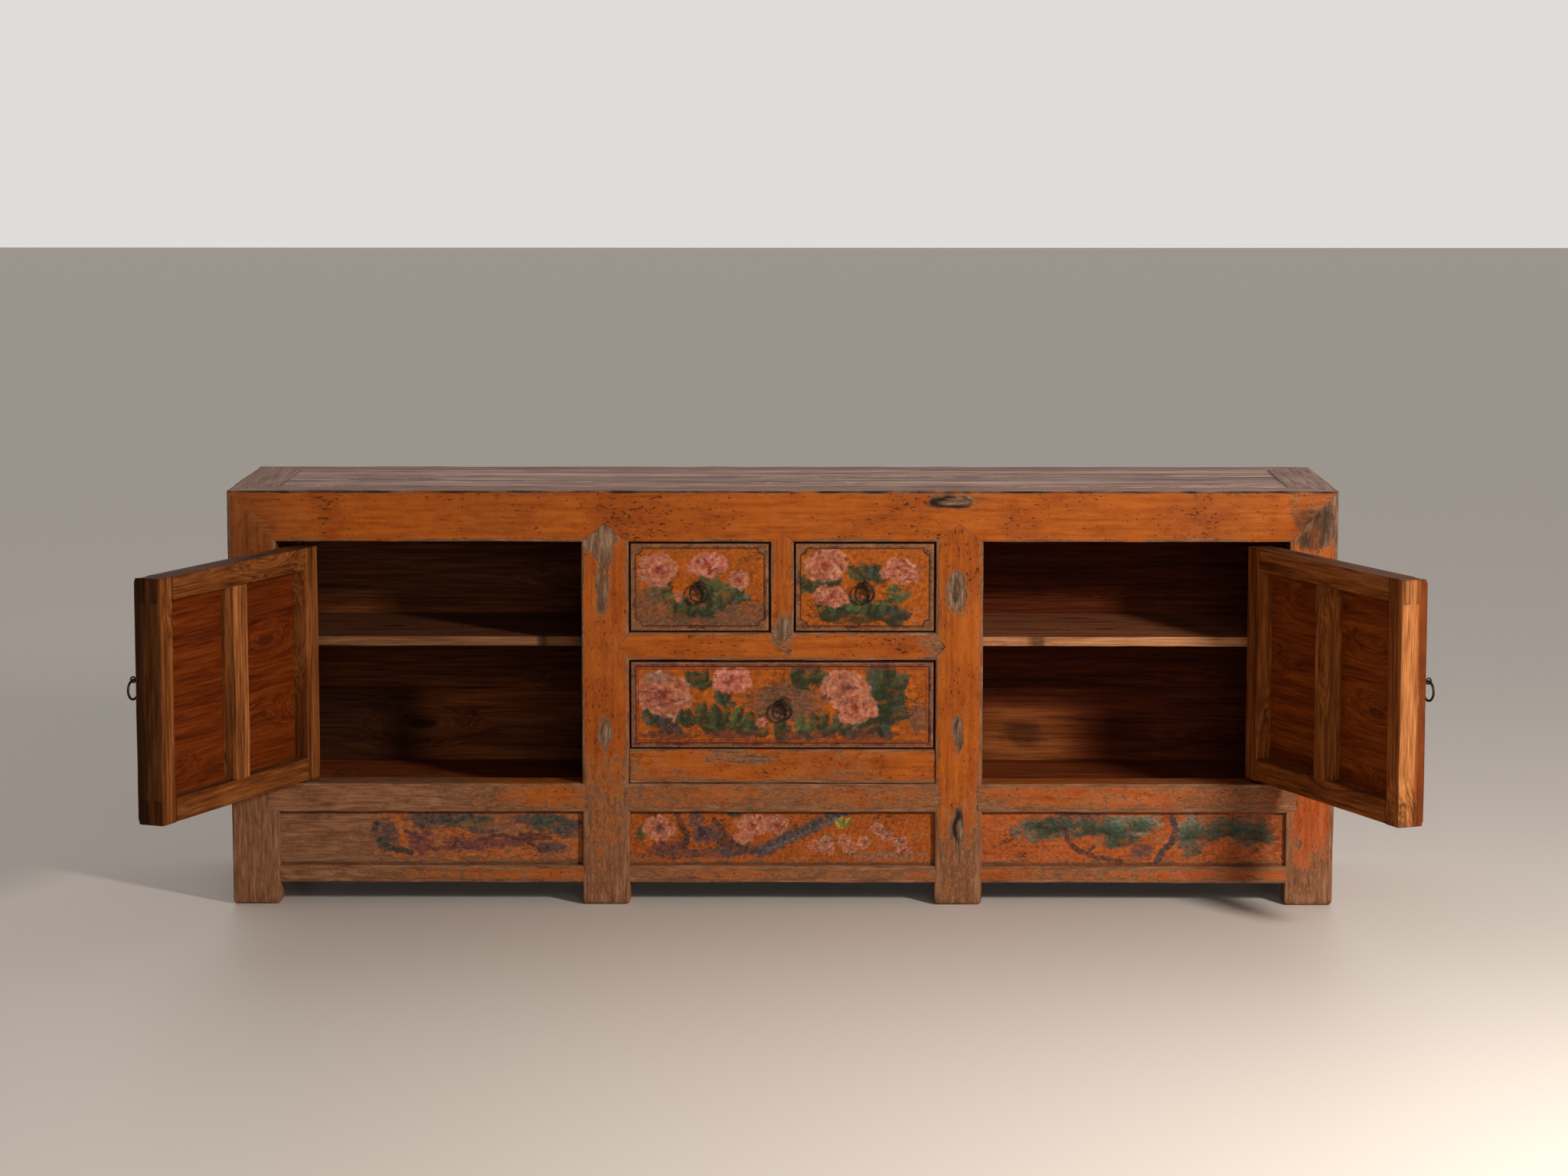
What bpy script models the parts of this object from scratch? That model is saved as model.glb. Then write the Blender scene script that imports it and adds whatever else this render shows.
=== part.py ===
"""Painted low buffet cabinet: a flush post-and-rail frame with two pivot doors and three drawers.

Metres, +X to the viewer's right, the front faces -Y, +Z up. The doors stand open, as the cabinet is shown.
"""
import math

import bmesh
import bpy
from mathutils import Matrix, Vector

# Clearance between pieces that touch
CLEAR = 0.0003

# Frame, across the front
POST_W = 0.092
POST_D = 0.070
MID_POST_W = 0.091
DOOR_BAY = 0.577
CENTRE_BAY = 0.580
DIVIDER_W = 0.045

# Frame, front to back
DEPTH = 0.475
BOTTOM_RAIL_D = 0.040
BOTTOM_RAIL_INSET = 0.001

# Frame, from the floor up
FOOT_GAP = 0.042
BOTTOM_RAIL_H = 0.034
SKIRT_H = 0.103
SILL_H = 0.056
APRON_H = 0.066
LOWER_OPENING_H = 0.170
DRAWER_RAIL_H = 0.054
UPPER_OPENING_H = 0.172
TOP_RAIL_H = 0.099

# Joints of the frame
GABLE_H = 0.036
RAIL_POINT = 0.020
DIVIDER_POINT = 0.022
LAP_T = 0.012
CORNER_LAP = 0.022
MID_LAP = 0.010
STUB_L = 0.012
STUB_INSET = 0.009
THROUGH_TENON_H = 0.060
THROUGH_TENON_HEIGHTS = (0.150, 0.333, 0.600)
ARRIS = 0.004
ROUND_STEPS = 2

# Boards and panels
BOARD_T = 0.016
PANEL_INSET = 0.012
HOUSING = 0.006
SKIRT_T = 0.014
SKIRT_INSET = 0.014
SHELF_T = 0.019
SHELF_TOP = 0.505
SHELF_SETBACK = 0.0905
FLOOR_T = 0.018
FLOOR_DROP = 0.028
PARTITION_FOOT = 0.100
TOP_T = 0.022
TOP_TONGUE_T = 0.008
TOP_PLANK_LINES = 2
BACK_PLANK_LINES = 2
PLANK_LINE = 0.002

# Doors, hung on wooden pivots
DOOR_T = 0.056
STILE_W = 0.046
DOOR_RAIL_H = 0.043
DOOR_ROUND = 0.010
DOOR_TOP_GAP = 0.0105
DOOR_FOOT_GAP = 0.0070
FREE_GAP = 0.003
PIVOT_GAP = 0.0035
PIVOT_EDGE = 0.028
PIVOT_FACE = 0.020
PIN_R = 0.008
PIN_PLAY = 0.0004
PIN_ENGAGE = 0.010
TOP_SOCKET = 0.022
FOOT_SOCKET = 0.010
OPEN_ANGLE = math.radians(112.5)
DOOR_PANEL_T = 0.015
DOOR_PANEL_INSET = 0.012
BATTEN_W = 0.050
TWIN_TENON_T = 0.0115
TWIN_TENON_INSETS = (0.004, 0.031)
STUB_TENON_L = 0.008

# Drawers
DRAWER_GAP = 0.002
DRAWER_RECESS = 0.0015
DRAWER_FRONT_T = 0.025
TRAY_WALL = 0.012
TRAY_FLOOR = 0.009
TRAY_SIDE_GAP = 0.004
TRAY_HEADROOM = 0.030
TRAY_BACK_GAP = 0.047
DRAWER_BOARD_T = 0.014
GUIDE_W = 0.014
GUIDE_H = 0.012

# Ring pulls on split-pin eyes
RING_R = 0.0175
RING_WIRE = 0.0025
EYE_WIRE = 0.0018
EYE_PLAY = 0.0007
PULL_STANDOFF = 0.013
SHANK_R = 0.003
SHANK_DEPTH = 0.020
DRAWER_PULL_RISE = 0.008
DOOR_PULL_EDGE = 0.020
DOOR_PULL_H = 0.258

# Facets of round pieces
PIN_SIDES = 24
SHANK_SIDES = 12
RING_STEPS = 28
EYE_STEPS = 18
WIRE_SIDES = 8

# Places that follow from the sizes
MID_IN = CENTRE_BAY / 2
MID_OUT = MID_IN + MID_POST_W
MID_X = (MID_IN + MID_OUT) / 2
CORNER_IN = MID_OUT + DOOR_BAY
HALF_W = CORNER_IN + POST_W
BOTTOM_RAIL_TOP = FOOT_GAP + BOTTOM_RAIL_H
SILL_Z = BOTTOM_RAIL_TOP + SKIRT_H
SILL_TOP = SILL_Z + SILL_H
APRON_TOP = SILL_TOP + APRON_H
DRAWER_RAIL_Z = APRON_TOP + LOWER_OPENING_H
DRAWER_RAIL_TOP = DRAWER_RAIL_Z + DRAWER_RAIL_H
TOP_RAIL_Z = DRAWER_RAIL_TOP + UPPER_OPENING_H
HEIGHT = TOP_RAIL_Z + TOP_RAIL_H
BACK_IN = DEPTH - PANEL_INSET - BOARD_T
SIDE_IN = HALF_W - PANEL_INSET - BOARD_T
SIDES = (("left", -1), ("right", 1))

for old in list(bpy.data.objects):
    bpy.data.objects.remove(old)

cabinet = bpy.data.collections.new("buffet_cabinet")
cutters = bpy.data.collections.new("cutters")
bpy.context.scene.collection.children.link(cabinet)
bpy.context.scene.collection.children.link(cutters)

# The corners of every box, in its parent's frame, for the pockets that hold it
spans = {}


def finish(name, colour, roughness, metallic=0.0):
    """A Principled material of one colour."""
    material = bpy.data.materials.new(name)
    material.use_nodes = True
    shader = material.node_tree.nodes["Principled BSDF"]
    shader.inputs["Base Color"].default_value = (*colour, 1.0)
    shader.inputs["Roughness"].default_value = roughness
    shader.inputs["Metallic"].default_value = metallic
    return material


LACQUER = finish("orange_lacquer", (0.45, 0.13, 0.022), 0.45)
PAINTED = finish("painted_field", (0.42, 0.12, 0.03), 0.5)
WEATHERED = finish("weathered_top", (0.17, 0.12, 0.09), 0.75)
INNER_PINE = finish("stained_inner_pine", (0.16, 0.06, 0.02), 0.6)
DOOR_PINE = finish("door_pine", (0.26, 0.10, 0.03), 0.55)
IRON = finish("forged_iron", (0.03, 0.028, 0.026), 0.5, 0.9)


def empty(name, location=(0, 0, 0), parent=None):
    """A pivot or a group that pieces hang on."""
    pivot = bpy.data.objects.new(name, None)
    pivot.location = location
    pivot.parent = parent
    cabinet.objects.link(pivot)
    return pivot


ROOT = empty("cabinet_middle")


def place(name, bm, location, parent, material):
    """Puts a finished bmesh into the scene as a piece, or as a hidden cutter where it has no material."""
    mesh = bpy.data.meshes.new(name)
    bm.to_mesh(mesh)
    bm.free()
    piece = bpy.data.objects.new(name, mesh)
    piece.location = location
    piece.parent = parent
    if material:
        mesh.materials.append(material)
        cabinet.objects.link(piece)
    else:
        piece.hide_render = True
        piece.display_type = "WIRE"
        cutters.objects.link(piece)
    return piece


def bar(name, x, y, z, material=None, parent=ROOT):
    """A squared bar between pairs of x, y and z, given in either order."""
    low = Vector([min(pair) for pair in (x, y, z)])
    high = Vector([max(pair) for pair in (x, y, z)])
    bm = bmesh.new()
    bmesh.ops.create_cube(bm, size=1.0, matrix=Matrix.Diagonal((*(high - low), 1.0)))
    spans[name] = (low, high)
    return place(name, bm, (low + high) / 2, parent, material)


def rod(name, radius, sides, start, end, material=None, parent=ROOT):
    """A round bar of even sides from one point to another."""
    axis = Vector(end) - Vector(start)
    turn = axis.to_track_quat("Z", "Y").to_matrix().to_4x4()
    bm = bmesh.new()
    bmesh.ops.create_cone(bm, cap_ends=True, segments=sides, radius1=radius, radius2=radius,
                          depth=axis.length, matrix=turn)
    return place(name, bm, (Vector(start) + Vector(end)) / 2, parent, material)


def combine(piece, operation, tool):
    """Adds a Boolean to a piece."""
    boolean = piece.modifiers.new(f"{operation.lower()}_{tool.name}", "BOOLEAN")
    boolean.operation = operation
    boolean.object = tool
    boolean.solver = "EXACT"


def cut(tool, *pieces):
    """Cuts a tool's shape out of each piece."""
    for piece in pieces:
        combine(piece, "DIFFERENCE", tool)


def grown(name, low, high, parent):
    """A cutter box that is larger by the clearance on every side."""
    edge = Vector((CLEAR, CLEAR, CLEAR))
    pairs = zip(low - edge, high + edge)
    return bar(name, *pairs, parent=parent)


def house(board, *holders):
    """Lets a board into its holders: each gets a pocket of the board's size and the clearance."""
    pocket = grown(f"{board.name}_pocket", *spans[board.name], board.parent)
    cut(pocket, *holders)


def tenon(piece, label, x, y, z, *holders, mouth=(0, 0, 0)):
    """Adds a tenon to a piece and cuts its mortise in the holders. A through mortise runs on by its mouth."""
    tool = bar(f"{piece.name}_{label}", x, y, z, parent=piece.parent)
    combine(piece, "UNION", tool)
    if holders:
        low, high = spans[tool.name]
        open_low = Vector([edge + min(way, 0) for edge, way in zip(low, mouth)])
        open_high = Vector([edge + max(way, 0) for edge, way in zip(high, mouth)])
        cut(grown(f"{tool.name}_mortise", open_low, open_high, piece.parent), *holders)


def soften(piece, radius, *edges):
    """Rounds edges of a fresh bar, each named by the two sides it lies between: (0, -1, 1) is front and top."""
    bm = bmesh.new()
    bm.from_mesh(piece.data)
    half = [max(vertex.co[axis] for vertex in bm.verts) for axis in range(3)]

    def sides(edge):
        middle = (edge.verts[0].co + edge.verts[1].co) / 2
        return tuple(round(middle[axis] / half[axis]) for axis in range(3))

    picked = [edge for edge in bm.edges if sides(edge) in edges]
    bmesh.ops.bevel(bm, geom=picked, offset=radius, offset_type="OFFSET", segments=ROUND_STEPS,
                    profile=0.5, affect="EDGES", clamp_overlap=True)
    bm.to_mesh(piece.data)
    bm.free()


def saw(piece, point, normal):
    """Saws off the side of a plane that the normal points to, in the parent's frame."""
    bm = bmesh.new()
    bm.from_mesh(piece.data)
    everything = bm.verts[:] + bm.edges[:] + bm.faces[:]
    result = bmesh.ops.bisect_plane(bm, geom=everything, plane_co=point - piece.location,
                                    plane_no=normal, clear_outer=True)
    rim = [item for item in result["geom_cut"] if isinstance(item, bmesh.types.BMEdge)]
    bmesh.ops.edgeloop_fill(bm, edges=rim)
    bmesh.ops.recalc_face_normals(bm, faces=bm.faces)
    bm.to_mesh(piece.data)
    bm.free()


def point_end(piece, tip, along, across, half, length, gap=0.0):
    """Saws the end of a piece to a point: two planes that meet in a line through the tip."""
    for side in (-1, 1):
        normal = (along * half + across * (side * length)).normalized()
        saw(piece, tip - normal * gap, normal)


def let_in_point(piece, name, tip, along, across, half, length, holder):
    """Points one end of a piece and cuts the notch that takes it in its holder."""
    point_end(piece, tip, along, across, half, length, CLEAR)
    base = tip - along * (length + POST_D / 2)
    reach = across * half
    notch = bar(name, (base.x - reach.x, tip.x + reach.x), (-POST_D, POST_D + CLEAR),
                (base.z - reach.z, tip.z + reach.z))
    point_end(notch, tip, along, across, half, length)
    cut(notch, holder)


X_AXIS = Vector((1, 0, 0))
Z_AXIS = Vector((0, 0, 1))
UPRIGHT_EDGES = ((-1, -1, 0), (1, -1, 0), (-1, 1, 0), (1, 1, 0))
FOOT_EDGES = ((-1, 0, -1), (1, 0, -1), (0, -1, -1), (0, 1, -1))
FRONT_EDGES = ((0, -1, 1), (0, -1, -1))

# Posts: four at the front and two at the back corners
posts = {}
for side, s in SIDES:
    for row, y in (("front", (0, POST_D)), ("back", (DEPTH - POST_D, DEPTH))):
        name = f"{row}_post_{side}"
        posts[name] = bar(name, (s * CORNER_IN, s * HALF_W), y, (0, HEIGHT), LACQUER)
        soften(posts[name], ARRIS, *UPRIGHT_EDGES, *FOOT_EDGES)
    name = f"mid_post_{side}"
    posts[name] = bar(name, (s * MID_IN, s * MID_OUT), (0, POST_D), (0, TOP_RAIL_Z + GABLE_H), LACQUER)
    soften(posts[name], ARRIS, *UPRIGHT_EDGES, *FOOT_EDGES)

# Top frame: four rails as deep and wide as the posts, with a three-way mitre at each corner
front_top_rail = bar("front_top_rail", (-HALF_W, HALF_W), (0, POST_D), (TOP_RAIL_Z, HEIGHT), LACQUER)
soften(front_top_rail, ARRIS, *FRONT_EDGES)
back_top_rail = bar("back_top_rail", (-HALF_W, HALF_W), (DEPTH - POST_D, DEPTH), (TOP_RAIL_Z, HEIGHT),
                    LACQUER)
soften(back_top_rail, ARRIS, (0, 1, 1), (0, 1, -1))
side_top_rails = {}
for side, s in SIDES:
    name = f"side_top_rail_{side}"
    side_top_rails[side] = bar(name, (s * CORNER_IN, s * HALF_W), (0, DEPTH), (TOP_RAIL_Z, HEIGHT), LACQUER)
    soften(side_top_rails[side], ARRIS, (s, 0, 1), (s, 0, -1))


def mitre(piece, corner, own, others):
    """Keeps the part of a piece that lies furthest along its own direction from the corner."""
    for other in others:
        normal = (other - own).normalized()
        saw(piece, corner - normal * (CLEAR / 2), normal)


for side, s in SIDES:
    for row, y, into, rail in (("front", 0, 1, front_top_rail), ("back", DEPTH, -1, back_top_rail)):
        corner = Vector((s * HALF_W, y, HEIGHT))
        along_x = Vector((-s / POST_W, 0, 0))
        along_y = Vector((0, into / POST_D, 0))
        down = Vector((0, 0, -1 / TOP_RAIL_H))
        mitre(posts[f"{row}_post_{side}"], corner, down, (along_x, along_y))
        mitre(rail, corner, along_x, (down, along_y))
        mitre(side_top_rails[side], corner, along_y, (down, along_x))

# Mid posts end in a gable let into the front top rail
for side, s in SIDES:
    let_in_point(posts[f"mid_post_{side}"], f"gable_notch_{side}", Vector((s * MID_X, 0, TOP_RAIL_Z + GABLE_H)),
                 Z_AXIS, X_AXIS, MID_POST_W / 2, GABLE_H, front_top_rail)

# Top: planks in one plane, tongued into the grooves of the top frame
top_board = bar("top_board", (-CORNER_IN + CLEAR, CORNER_IN - CLEAR),
                (POST_D + CLEAR, DEPTH - POST_D - CLEAR), (HEIGHT - TOP_T, HEIGHT - CLEAR), WEATHERED)
tongue_z = HEIGHT - (TOP_T + TOP_TONGUE_T) / 2
tenon(top_board, "tongue", (-CORNER_IN - HOUSING, CORNER_IN + HOUSING),
      (POST_D - HOUSING, DEPTH - POST_D + HOUSING), (tongue_z, tongue_z + TOP_TONGUE_T),
      front_top_rail, back_top_rail, *side_top_rails.values())
plank_depth = (DEPTH - 2 * POST_D) / (TOP_PLANK_LINES + 1)
for line in range(TOP_PLANK_LINES):
    y = POST_D + (line + 1) * plank_depth
    cut(bar(f"top_plank_line_{line}", (-CORNER_IN, CORNER_IN), (y - PLANK_LINE / 2, y + PLANK_LINE / 2),
            (HEIGHT - PLANK_LINE, HEIGHT + PLANK_LINE)), top_board)

# Drawer rail and divider, with pointed shoulders
drawer_rail = bar("drawer_rail", (-MID_IN - RAIL_POINT, MID_IN + RAIL_POINT), (0, POST_D),
                  (DRAWER_RAIL_Z, DRAWER_RAIL_TOP), LACQUER)
soften(drawer_rail, ARRIS / 2, *FRONT_EDGES)
for side, s in SIDES:
    tip = Vector((s * (MID_IN + RAIL_POINT), 0, (DRAWER_RAIL_Z + DRAWER_RAIL_TOP) / 2))
    let_in_point(drawer_rail, f"rail_notch_{side}", tip, X_AXIS * s, Z_AXIS, DRAWER_RAIL_H / 2, RAIL_POINT,
                 posts[f"mid_post_{side}"])
divider = bar("drawer_divider", (-DIVIDER_W / 2, DIVIDER_W / 2), (0, POST_D),
              (DRAWER_RAIL_TOP - DIVIDER_POINT, TOP_RAIL_Z + DIVIDER_POINT), LACQUER)
soften(divider, ARRIS / 2, (-1, -1, 0), (1, -1, 0))
for label, z, way, holder in (("foot", DRAWER_RAIL_TOP - DIVIDER_POINT, -1, drawer_rail),
                              ("head", TOP_RAIL_Z + DIVIDER_POINT, 1, front_top_rail)):
    let_in_point(divider, f"divider_{label}_notch", Vector((0, 0, z)), Z_AXIS * way, X_AXIS,
                 DIVIDER_W / 2, DIVIDER_POINT, holder)

# Sills lap onto the faces of the posts; bottom rails and the apron are stub tenoned between them
BAYS = (("left", -CORNER_IN, -MID_OUT, "front_post_left", "mid_post_left", CORNER_LAP, MID_LAP),
        ("centre", -MID_IN, MID_IN, "mid_post_left", "mid_post_right", MID_LAP, MID_LAP),
        ("right", MID_OUT, CORNER_IN, "mid_post_right", "front_post_right", MID_LAP, CORNER_LAP))
sills = {}
for bay, x0, x1, near_post, far_post, near_lap, far_lap in BAYS:
    ends = ((x0, -1, near_lap, posts[near_post]), (x1, 1, far_lap, posts[far_post]))
    sill = bar(f"sill_{bay}", (x0 - near_lap, x1 + far_lap), (0, POST_D), (SILL_Z, SILL_TOP), LACQUER)
    soften(sill, ARRIS / 2, *FRONT_EDGES)
    bottom_rail = bar(f"bottom_rail_{bay}", (x0 + CLEAR, x1 - CLEAR),
                      (BOTTOM_RAIL_INSET, BOTTOM_RAIL_D), (FOOT_GAP, BOTTOM_RAIL_TOP), LACQUER)
    soften(bottom_rail, ARRIS / 2, *FRONT_EDGES)
    for x, way, lap, post in ends:
        shoulder = bar(f"{sill.name}_shoulder_{way}", (x - way * CLEAR, x + way * 2 * lap),
                       (LAP_T, 2 * POST_D), (SILL_Z - SILL_H, SILL_TOP + SILL_H))
        cut(shoulder, sill)
        seat = bar(f"{sill.name}_seat_{way}", (x - way * lap, x + way * (lap + CLEAR)),
                   (-LAP_T, LAP_T + CLEAR), (SILL_Z - CLEAR, SILL_TOP + CLEAR))
        cut(seat, post)
        tenon(bottom_rail, f"stub_{way}", (x - way * STUB_L, x + way * STUB_L),
              (BOTTOM_RAIL_INSET + STUB_INSET, BOTTOM_RAIL_D - STUB_INSET),
              (FOOT_GAP + STUB_INSET, BOTTOM_RAIL_TOP - STUB_INSET), post)
    skirt = bar(f"skirt_panel_{bay}", (x0 - HOUSING, x1 + HOUSING), (SKIRT_INSET, SKIRT_INSET + SKIRT_T),
                (BOTTOM_RAIL_TOP - HOUSING, SILL_Z + HOUSING), PAINTED)
    house(skirt, bottom_rail, sill, posts[near_post], posts[far_post])
    sills[bay] = sill
apron = bar("apron_board", (-MID_IN + CLEAR, MID_IN - CLEAR), (0, POST_D), (SILL_TOP + CLEAR, APRON_TOP),
            LACQUER)
soften(apron, ARRIS / 2, *FRONT_EDGES)
for side, s in SIDES:
    tenon(apron, f"stub_{side}", (s * (MID_IN - STUB_L), s * (MID_IN + STUB_L)),
          (STUB_INSET, POST_D - STUB_INSET), (SILL_TOP + STUB_INSET, APRON_TOP - STUB_INSET),
          posts[f"mid_post_{side}"])

# Back: planks in one plane, grooved into the back posts and rail
back_panel = bar("back_panel", (-CORNER_IN - HOUSING, CORNER_IN + HOUSING), (BACK_IN, BACK_IN + BOARD_T),
                 (FOOT_GAP, TOP_RAIL_Z + HOUSING), INNER_PINE)
house(back_panel, back_top_rail, posts["back_post_left"], posts["back_post_right"])
plank_height = (TOP_RAIL_Z - FOOT_GAP) / (BACK_PLANK_LINES + 1)
for line in range(BACK_PLANK_LINES):
    z = FOOT_GAP + (line + 1) * plank_height
    for face, y in (("inner", BACK_IN), ("outer", BACK_IN + BOARD_T)):
        cut(bar(f"back_plank_line_{face}_{line}", (-CORNER_IN, CORNER_IN),
                (y - PLANK_LINE / 2, y + PLANK_LINE / 2), (z - PLANK_LINE / 2, z + PLANK_LINE / 2)), back_panel)

# Sides, partitions, floors and shelves of the two door bays
partitions = {}
for side, s in SIDES:
    front_post = posts[f"front_post_{side}"]
    back_post = posts[f"back_post_{side}"]
    mid_post = posts[f"mid_post_{side}"]
    side_panel = bar(f"side_panel_{side}", (s * SIDE_IN, s * (SIDE_IN + BOARD_T)),
                     (POST_D - HOUSING, DEPTH - POST_D + HOUSING), (FOOT_GAP, TOP_RAIL_Z + HOUSING), LACQUER)
    house(side_panel, front_post, back_post, side_top_rails[side])

    partition_x = (s * (MID_X - BOARD_T / 2), s * (MID_X + BOARD_T / 2))
    partition = bar(f"partition_{side}", partition_x, (POST_D + CLEAR, BACK_IN - CLEAR),
                    (PARTITION_FOOT, HEIGHT - TOP_T - CLEAR), INNER_PINE)
    for number, z in enumerate(THROUGH_TENON_HEIGHTS):
        tenon(partition, f"through_tenon_{number}", partition_x, (CLEAR, 2 * POST_D),
              (z - THROUGH_TENON_H / 2, z + THROUGH_TENON_H / 2), mid_post, mouth=(0, -POST_D, 0))
    partitions[side] = partition

    across = (s * (MID_X + BOARD_T / 2 - HOUSING), s * (SIDE_IN + HOUSING))
    floor = bar(f"floor_board_{side}", across, (POST_D - HOUSING, BACK_IN - CLEAR),
                (SILL_TOP - FLOOR_DROP - FLOOR_T, SILL_TOP - FLOOR_DROP), INNER_PINE)
    house(floor, sills[side], front_post, mid_post, side_panel, partition)
    shelf = bar(f"shelf_{side}", across, (SHELF_SETBACK, BACK_IN - CLEAR), (SHELF_TOP - SHELF_T, SHELF_TOP),
                INNER_PINE)
    house(shelf, side_panel, partition)
    house(back_post, floor, shelf)
house(back_top_rail, *partitions.values())

# Boards that the drawers run on, with guides beside the drawers
GUIDE_CENTRES = {"upper": (-MID_IN, 0, MID_IN), "lower": (-MID_IN, MID_IN)}
for level, z in (("upper", DRAWER_RAIL_TOP), ("lower", APRON_TOP)):
    board = bar(f"{level}_drawer_board", (-MID_X + BOARD_T / 2 - HOUSING, MID_X - BOARD_T / 2 + HOUSING),
                (POST_D + CLEAR, BACK_IN - CLEAR), (z - DRAWER_BOARD_T, z), INNER_PINE)
    house(board, *partitions.values())
    for number, x in enumerate(GUIDE_CENTRES[level]):
        tenon(board, f"guide_{number}", (x - GUIDE_W / 2, x + GUIDE_W / 2),
              (POST_D + HOUSING, BACK_IN - HOUSING), (z - DRAWER_BOARD_T / 2, z + GUIDE_H))


def torus(name, radius, wire, steps, turn, location, material, parent, offset=Vector()):
    """A ring of wire, turned from the XY plane and set off from its own origin."""
    bpy.ops.mesh.primitive_torus_add(major_radius=radius, minor_radius=wire, major_segments=steps,
                                     minor_segments=WIRE_SIDES)
    primitive = bpy.context.object
    bm = bmesh.new()
    bm.from_mesh(primitive.data)
    bmesh.ops.transform(bm, matrix=Matrix.Translation(offset) @ turn, verts=bm.verts)
    bpy.data.objects.remove(primitive)
    ring = place(name, bm, location, parent, material)
    ring.data.shade_smooth()
    return ring


def ring_pull(owner, parent, x, face, z, shank_end, hole_end, holder):
    """A split-pin eye driven into a face that looks towards -Y, and the ring that hangs in it."""
    eye_r = RING_WIRE + EYE_PLAY + EYE_WIRE
    middle = Vector((x, face - PULL_STANDOFF, z))
    staple = torus(f"{owner}_staple", eye_r, EYE_WIRE, EYE_STEPS, Matrix.Rotation(math.pi / 2, 4, "Y"), middle,
                   IRON, parent)
    start = middle + Vector((0, eye_r, 0))
    end = Vector((x, shank_end, z))
    shank = rod(f"{owner}_shank", SHANK_R, SHANK_SIDES, start, end, parent=parent)
    combine(staple, "UNION", shank)
    hole = rod(f"{owner}_pin_hole", SHANK_R + PIN_PLAY, SHANK_SIDES, (x, face - PULL_STANDOFF / 2, z),
               (x, hole_end, z), parent=parent)
    cut(hole, holder)
    hang = middle - Z_AXIS * (EYE_PLAY - CLEAR)
    torus(f"{owner}_ring", RING_R, RING_WIRE, RING_STEPS, Matrix.Rotation(math.pi / 2, 4, "X"), hang, IRON,
          parent, offset=Z_AXIS * -RING_R)


# Drawers: a front in its opening, and a box behind it that runs on the drawer board
DRAWERS = (("upper_left_drawer", -MID_IN, -DIVIDER_W / 2, DRAWER_RAIL_TOP, TOP_RAIL_Z),
           ("upper_right_drawer", DIVIDER_W / 2, MID_IN, DRAWER_RAIL_TOP, TOP_RAIL_Z),
           ("lower_drawer", -MID_IN, MID_IN, APRON_TOP, DRAWER_RAIL_Z))
for name, x0, x1, z0, z1 in DRAWERS:
    front = bar(f"{name}_front", (x0 + DRAWER_GAP, x1 - DRAWER_GAP),
                (DRAWER_RECESS, DRAWER_RECESS + DRAWER_FRONT_T), (z0 + DRAWER_GAP, z1 - DRAWER_GAP), PAINTED)
    soften(front, ARRIS / 2, *FRONT_EDGES, (-1, -1, 0), (1, -1, 0))
    box_front = DRAWER_RECESS + DRAWER_FRONT_T + CLEAR
    box_back = BACK_IN - TRAY_BACK_GAP
    inset = TRAY_SIDE_GAP + GUIDE_W / 2
    tray = bar(f"{name}_box", (x0 + inset, x1 - inset), (box_front, box_back),
               (z0 + CLEAR, z1 - TRAY_HEADROOM), INNER_PINE)
    hollow = bar(f"{name}_hollow", (x0 + inset + TRAY_WALL, x1 - inset - TRAY_WALL),
                 (0, box_back - TRAY_WALL), (z0 + CLEAR + TRAY_FLOOR, z1))
    cut(hollow, tray)
    shank_end = DRAWER_RECESS + SHANK_DEPTH
    ring_pull(name, ROOT, (x0 + x1) / 2, DRAWER_RECESS, (z0 + z1) / 2 + DRAWER_PULL_RISE, shank_end,
              shank_end + CLEAR, front)

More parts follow.
